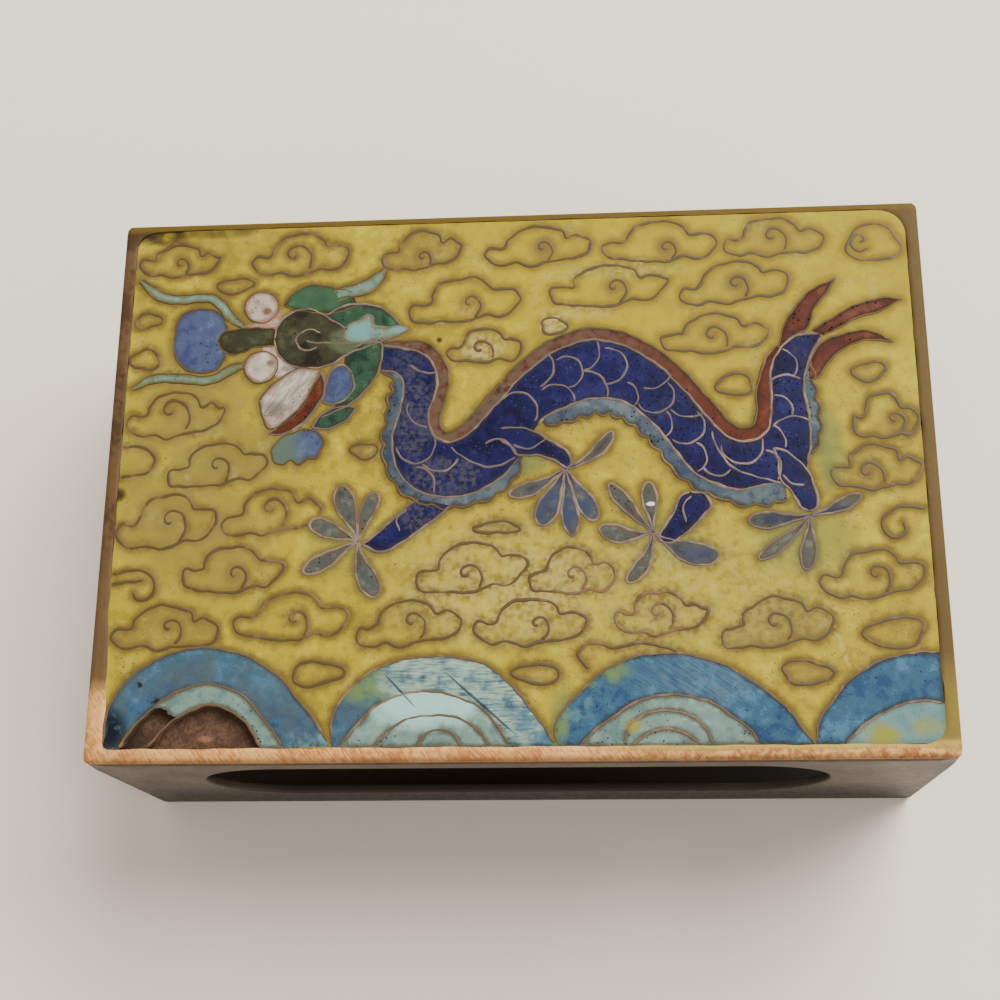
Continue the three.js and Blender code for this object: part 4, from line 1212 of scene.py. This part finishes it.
# How far each cloud's points are moved along and up, and how that turns from point to point and by cloud.
CLOUD_WOBBLE = (0.02, 0.045)
WOBBLE_TURNS = np.array([2.1, 3.3])
WOBBLE_SHIFTS = np.array([1.7, 2.9])
CLOUD_TILT = 0.12
CLOUD_LIFT = 0.36
CLOUD_HALF = 0.15
CLOUD_TOP = ENAMEL_FACE + 0.025
CLOUD_STEPS = 200
OPEN_CLOUD_STEPS = 60
# The curl: its turns, where it ends short of the outline, and its radius as shares of the way it has opened.
CURL_TURNS = 1.1
CURL_OPENED = np.linspace(0, 0.97, 60)
CURL_RADIUS = 0.1 + 0.26 * CURL_OPENED + 0.64 * CURL_OPENED**4
PUFF_REACH = 0.46
PUFF_WAVES = [(0.04, 2, 1), (0.05, 3, 2)]
PUFF_TURN = np.linspace(0, 2 * np.pi, 50)[:-1]
# Where a sheen is painted brightest on the strips: middle and reach on both axes.
SHEEN_ON_STRIPS = (9.0, -9.0, 11.0, 5.0)
cloud_loops = []


def cloud(left, right, bottom, top, curl_x, curl_y, seed):
    """The lobed outline, clockwise from its underside, and a spiral that opens clockwise from the curl's
    middle to where the outline starts. Sines of the seed tilt and bend every cloud its own way, and lift
    the ends of its underside as the square of their way out."""
    count = np.arange(len(CLOUD))[:, None]
    shape = CLOUD + np.sin(count * WOBBLE_TURNS + seed * WOBBLE_SHIFTS) * CLOUD_WOBBLE
    lift = CLOUD_LIFT * (0.6 + 0.4 * np.sin(2.7 * seed))
    shape[:, 1] += lift * shape[:, 0] ** 2 * (shape[:, 1] < 0)
    shape[:, 1] += CLOUD_TILT * np.sin(1.3 * seed) * shape[:, 0]
    shape = np.concatenate([shape, shape[:1]])
    half = np.array([right - left, top - bottom]) / 2
    line = spine(np.array([left, bottom]) + (1 + shape) * half, CLOUD_STEPS)
    start = line[0] - (curl_x, curl_y)
    angle = np.arctan2(start[1], start[0]) + (1 - CURL_OPENED) * CURL_TURNS * 2 * np.pi
    radius = np.linalg.norm(start) * CURL_RADIUS
    curl = np.array([curl_x, curl_y]) + radius[:, None] * np.stack([np.cos(angle), np.sin(angle)], axis=1)
    cloud_loops.append(line)
    return [wire(curl, False, CLOUD_HALF, CLOUD_TOP - LAYER), wire(line[:-1], True, CLOUD_HALF, CLOUD_TOP)]


def strip_copper(name, dull, lit, share):
    """Drawn copper strip, polished by the grinding and dulled since, with shine painted into its bright
    tone:
    share is where the dull tone gives way. The strips in the lower middle get the brightest painted sheen."""
    made, shader, place = surface(name)
    brightened = place.noise(0.9, 4.0) + (place.noise(0.12, 2.0) - 0.5) * 0.8
    # Painted shine: the bright tone, strongest in the lower middle.
    lit_share = (brightened + place.around(*SHEEN_ON_STRIPS) * 0.2).ramp(share, share + 0.16)
    colour = lit_share.mix(srgb(*dull), srgb(*lit))
    finish(shader, Base_Color=colour, Metallic=0.0, Roughness=0.5, Specular_IOR_Level=0.3)
    return made


for seed, box in enumerate(CLOUDS):
    wires["cloud"] += cloud(*box, seed)
for seed, (x, y, width, height) in enumerate(PUFFS):
    reach = PUFF_REACH + uneven(PUFF_TURN, seed, PUFF_WAVES)
    round_it = np.stack([width * np.cos(PUFF_TURN), height * np.sin(PUFF_TURN)], axis=1)
    puff = np.array([x, y]) + reach[:, None] * round_it
    wires["cloud"].append(wire(puff, True, CLOUD_HALF, CLOUD_TOP))
    cloud_loops.append(np.concatenate([puff, puff[:1]]))
for points in OPEN_CLOUDS:
    wires["cloud"].append(wire(spine(points, OPEN_CLOUD_STEPS), False, CLOUD_HALF, CLOUD_TOP))

WIRE_FINISH = {
    "cloud": strip_copper("dull_strip", (82, 63, 28), (110, 84, 46), 0.56),
    "dragon": strip_copper("dragon_strip", (96, 80, 70), (128, 106, 90), 0.48),
    "wave": strip_copper("wave_strip", (94, 74, 54), (128, 100, 76), 0.5),
}
for name, patches in wires.items():
    made = piece(f"{name}_wires", patches)
    made.data.materials.append(WIRE_FINISH[name])


# Sky
# Opaque yellow glass that fills the tray round every figure and cloud, ground flush with the rim. It is
# dirty along the strips, dull where hands have worn it and chipped and blackened at one corner.

SKY_PITCH = 0.17
SKY_GAP = 0.02
SKY_CORE = 10
# Under a figure the sky sinks from a distance inside its edge, over a stretch.
UNDER_FIGURES = 0.06
SINK_FROM = 0.15
SINK_STRETCH = 0.25
LOST_DEPTH = ENAMEL_FACE - ENAMEL_FLOOR - 0.005
# How far from a strip its distance is worked out, and the distance given to all beyond.
NEAR_STRIP = 1.2
FAR_FROM_STRIP = 2.0
RIPPLE = 0.005
# The chip in the corner: middle, reach on both axes, and depth.
CHIP_MIDDLE = np.array([-27.5, 19.6])
CHIP_REACH = np.array([2.4, 1.0])
CHIP_DEPTH = 0.2
# Clouds, and after them puffs, that are browner inside than the sky, by number, and how much. The others
# are stained by up to twice CLOUD_STAIN, and all within CURL_STAIN of the middle of their curl.
DULL_CLOUDS = {1: 0.5, 15: 0.4, 18: 0.6, 23: 0.5, 25: 0.7, 27: 0.5, 28: 0.4, 30: 0.7, 35: 0.9, 37: 0.6}
CLOUD_STAIN = 0.15
CURL_STAIN = 1.4
# Spots on the glass: middle, reach on both axes, and weight.
# The cream spots are pale patches, and the two broad ones in the lower middle a painted sheen.
CREAM_AND_SHEEN = [
    (10.0, -9.0, 16.0, 6.0, 0.45), (-2.0, -8.0, 9.0, 6.0, 0.6), (8.0, 15.8, 6.0, 1.0, 0.5),
    (-2.3, 9.9, 2.4, 1.4, 1), (2.8, 11.5, 1.3, 0.9, 1.2), (4.5, 12.4, 4.0, 0.8, 0.6),
]
GREEN_TINT = [
    (20.5, -5.5, 5.0, 3.4, 0.7), (1.0, 0.6, 1.8, 1.0, 1), (22.4, 1.4, 1.4, 4.0, 1),
    (-12.3, -5.4, 3.6, 3.4, 0.4), (10.5, -5.0, 4.0, 3.0, 0.4), (3.4, -17.6, 1.2, 2.6, 1),
    (18.6, -18.6, 1.2, 1.2, 1),
]
SMOKE = [(-23.0, 19.0, 8.0, 2.4, 1), (-28.6, 16.0, 1.4, 3.4, 0.7)]
SOOT = [(-27.6, 20.0, 3.4, 1.3, 1), (-22.4, 20.0, 4.4, 0.8, 0.7)]
# Burnt spots: middle and reach.
BURNS = [(-28.9, -1.1, 0.7), (-9.5, 2.2, 0.25), (-5.6, 10.5, 0.3)]


def inside(points, loop):
    """Whether each point lies in a closed line: a ray to its right crosses it an odd number of times."""
    a, b = loop[:-1], loop[1:]
    spans = (a[:, 1] > points[:, 1:]) != (b[:, 1] > points[:, 1:])
    rise = np.where(b[:, 1] == a[:, 1], 1, b[:, 1] - a[:, 1])
    crossing = a[:, 0] + (points[:, 1:] - a[:, 1]) / rise * (b[:, 0] - a[:, 0])
    return (spans & (points[:, :1] < crossing)).sum(axis=1) % 2 == 1


def near(points, line, reach=0):
    """Which points lie in the line's box, grown by reach."""
    return ((points > line.min(axis=0) - reach) & (points < line.max(axis=0) + reach)).all(axis=1)


counts = ((TRAY_HIGH - TRAY_LOW) / SKY_PITCH).astype(int)
sky_axes = [np.linspace(TRAY_LOW[k] + SKY_GAP, TRAY_HIGH[k] - SKY_GAP, counts[k]) for k in (0, 1)]
sky_plan = rounded_tray(rectangle(*sky_axes))
ground = sky_plan.reshape(-1, 2)
ground_x, ground_y = ground.T

sunk = np.zeros(len(ground))
for loop in cells:
    pick = near(ground, loop)
    depth = np.where(inside(ground[pick], loop), distance(ground[pick], loop), 0)
    sunk[pick] = np.maximum(sunk[pick], np.clip((depth - SINK_FROM) / SINK_STRETCH, 0, 1))
pick = near(ground, lost)
sunk[pick] = np.where(inside(ground[pick], lost), LOST_DEPTH / UNDER_FIGURES, sunk[pick])

wire_gap = np.full(len(ground), FAR_FROM_STRIP)
for patch in wires["cloud"] + wires["dragon"] + wires["wave"]:
    line = patch[:, 2:4, :2].mean(axis=1)
    pick = near(ground, line, NEAR_STRIP)
    wire_gap[pick] = np.minimum(wire_gap[pick], distance(ground[pick], line))

stain = np.zeros(len(ground))
for number, loop in enumerate(cloud_loops):
    pick = near(ground, loop)
    share = DULL_CLOUDS.get(number, CLOUD_STAIN * (1 + np.sin(2.3 * number)))
    stain[pick] = np.maximum(stain[pick], share * inside(ground[pick], loop))
for number, (*_, x, y) in enumerate(CLOUDS):
    away = np.hypot(ground_x - x, ground_y - y)
    stain = np.maximum(stain, (0.6 + 0.4 * np.sin(1.9 * number)) * np.clip(CURL_STAIN - away, 0, 1))

ripple = RIPPLE * np.sin(0.8 * ground_x + 0.5 * ground_y) * np.sin(0.7 * ground_y - 0.3 * ground_x)
chip = np.clip(1.3 - np.linalg.norm((ground - CHIP_MIDDLE) / CHIP_REACH, axis=1), 0, 1)
chip = CHIP_DEPTH * chip * (1 + 0.4 * np.sin(5 * ground_x) * np.sin(7 * ground_y))
sky_height = ENAMEL_FACE + ripple * (sunk == 0) - UNDER_FIGURES * sunk - chip
sky_face = on_plane(sky_plan, 2, sky_height.reshape(sky_plan.shape[:2]))
sky_edge = edge_of(sky_face)
sky_foot = on_plane(sky_edge[:, :2], 2, ENAMEL_FLOOR)
core_x = np.clip(sky_edge[:, 0], -SKY_CORE, SKY_CORE)
sky_core = on_plane(np.stack([core_x, np.zeros(len(core_x))], axis=1), 2, ENAMEL_FLOOR)
sky = piece(
    "sky_enamel",
    [sky_face, np.stack([sky_edge, sky_foot]), np.stack([sky_foot, sky_core])],
    [("edge", wire_gap), ("stain", stain)],
)

yellow, shader, place, colour = enamel(
    "yellow_glass", [(168, 148, 38), (148, 128, 36), (186, 168, 46), (68, 52, 30)], pits=0.1, dirty=0.6
)
edge = place.node("ShaderNodeAttribute", {"attribute_name": "edge"}, {}, "Fac")
stain = place.node("ShaderNodeAttribute", {"attribute_name": "stain"}, {}, "Fac")
sunny = place.axis("Y").ramp(2.0, 12.0) * place.axis("X").ramp(-12.0, 4.0)
colour = (sunny * 0.5).mix(colour, srgb(170, 149, 20))
stain = stain * (0.3 + place.noise(1.6, 4.0)).ramp(0.4, 0.9)
colour = stain.mix(colour, srgb(108, 88, 52))
halo = (edge + (place.noise(0.9, 4.0) - 0.5)).ramp(1.0, 0.1) * 0.5
colour = halo.mix(colour, srgb(122, 102, 44))
dull = place.around(-23.0, 1.0, 9.0, 14.0) * place.noise(0.6, 4.0).ramp(0.3, 0.6)
colour = (dull * 0.8).mix(colour, srgb(130, 113, 54))
# Pale cream patches and a scratch, with a sheen painted over the lower middle.
cream_and_sheen = place.spots(CREAM_AND_SHEEN) + place.noise(0.5, 4.0).ramp(0.56, 0.7) * 0.3
cream_and_sheen = cream_and_sheen + place.scratch(21.8, -11.0, 23.0, -14.8, 0.25)
colour = (cream_and_sheen * place.noise(2.4, 3.0).ramp(0.3, 0.66)).mix(colour, srgb(176, 158, 86))
tint = place.spots(GREEN_TINT) * (0.3 + place.noise(1.0, 4.0))
colour = (tint * 0.8).mix(colour, srgb(100, 114, 64))
sooty = 0.3 + place.noise(0.8, 4.0)
colour = (place.spots(SMOKE) * sooty.ramp(0.5, 1.0) * 0.35).mix(colour, srgb(116, 99, 50))
colour = (place.spots(SOOT).ramp(0.0, 1.0) * sooty.ramp(0.35, 0.95)).mix(colour, srgb(62, 50, 30))
for x, y, reach in BURNS:
    colour = (place.around(x, y, reach, reach) * 0.9).mix(colour, srgb(34, 26, 20))
finish(shader, Base_Color=colour)
sky.data.materials.append(yellow)
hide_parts("sky")


# Floor, light and camera
# A plain pale table under soft light from behind and to the right, as from a window, with a weaker light
# from the right. The camera looks down from high up in front.

FLOOR_SIZE = 3.0
# Each lamp's place, size and power.
LAMPS = {"window": ((0.45, 0.55, 0.75), 0.8, 19.0), "wall": ((0.95, -0.45, 0.5), 0.6, 2.5)}
LAMP_AIM = (0, 0, 0.02)
LAMP_UP = (0, 1, 0.01)
ROOM_COLOUR = (1.0, 0.98, 0.95, 1.0)
ROOM_STRENGTH = 0.6
CAMERA_PLACE = np.array([7.03, -37.01, 128.56]) * MM
CAMERA_RIGHT = np.array([0.9973, 0.0042, -0.0734])
CAMERA_DOWN = np.array([-0.0187, -0.9513, -0.3077])
CAMERA_AHEAD = np.array([-0.0711, 0.3083, -0.9486])
LENS = 57.1
SENSOR = 36.0
NEAREST = 0.005

floor_mesh = bpy.data.meshes.new("floor")
corners = FLOOR_SIZE / 2 * np.array([(-1, -1, 0), (1, -1, 0), (1, 1, 0), (-1, 1, 0)])
floor_mesh.from_pydata(corners, [], [(0, 1, 2, 3)])
floor = bpy.data.objects.new("floor", floor_mesh)
bpy.context.scene.collection.objects.link(floor)
table, shader, place = surface("pale_table")
finish(shader, Base_Color=srgb(255, 241, 220), Roughness=0.7)
floor.data.materials.append(table)


def lamp(name, place, size, watts):
    """A square area light that faces the middle of the picture."""
    light = bpy.data.lights.new(name, "AREA")
    light.size = size
    light.energy = watts
    made = bpy.data.objects.new(name, light)
    made.location = place
    back = np.array(place) - LAMP_AIM
    back = back / np.linalg.norm(back)
    side = np.cross(LAMP_UP, back)
    side = side / np.linalg.norm(side)
    turn = np.stack([side, np.cross(back, side), back], axis=1)
    made.rotation_euler = Matrix(turn.tolist()).to_euler()
    bpy.context.scene.collection.objects.link(made)


for name, (place, size, watts) in LAMPS.items():
    lamp(name, place, size, watts)
world = bpy.data.worlds.new("room")
world.use_nodes = True
background = world.node_tree.nodes["Background"]
background.inputs["Color"].default_value = ROOM_COLOUR
background.inputs["Strength"].default_value = ROOM_STRENGTH
bpy.context.scene.world = world

camera_data = bpy.data.cameras.new("camera")
camera_data.lens = LENS
camera_data.sensor_width = SENSOR
camera_data.clip_start = NEAREST
camera = bpy.data.objects.new("camera", camera_data)
turn = Matrix(np.stack([CAMERA_RIGHT, -CAMERA_DOWN, -CAMERA_AHEAD], axis=1).tolist())
camera.rotation_euler = turn.to_euler()
camera.location = CAMERA_PLACE
bpy.context.scene.collection.objects.link(camera)
bpy.context.scene.camera = camera
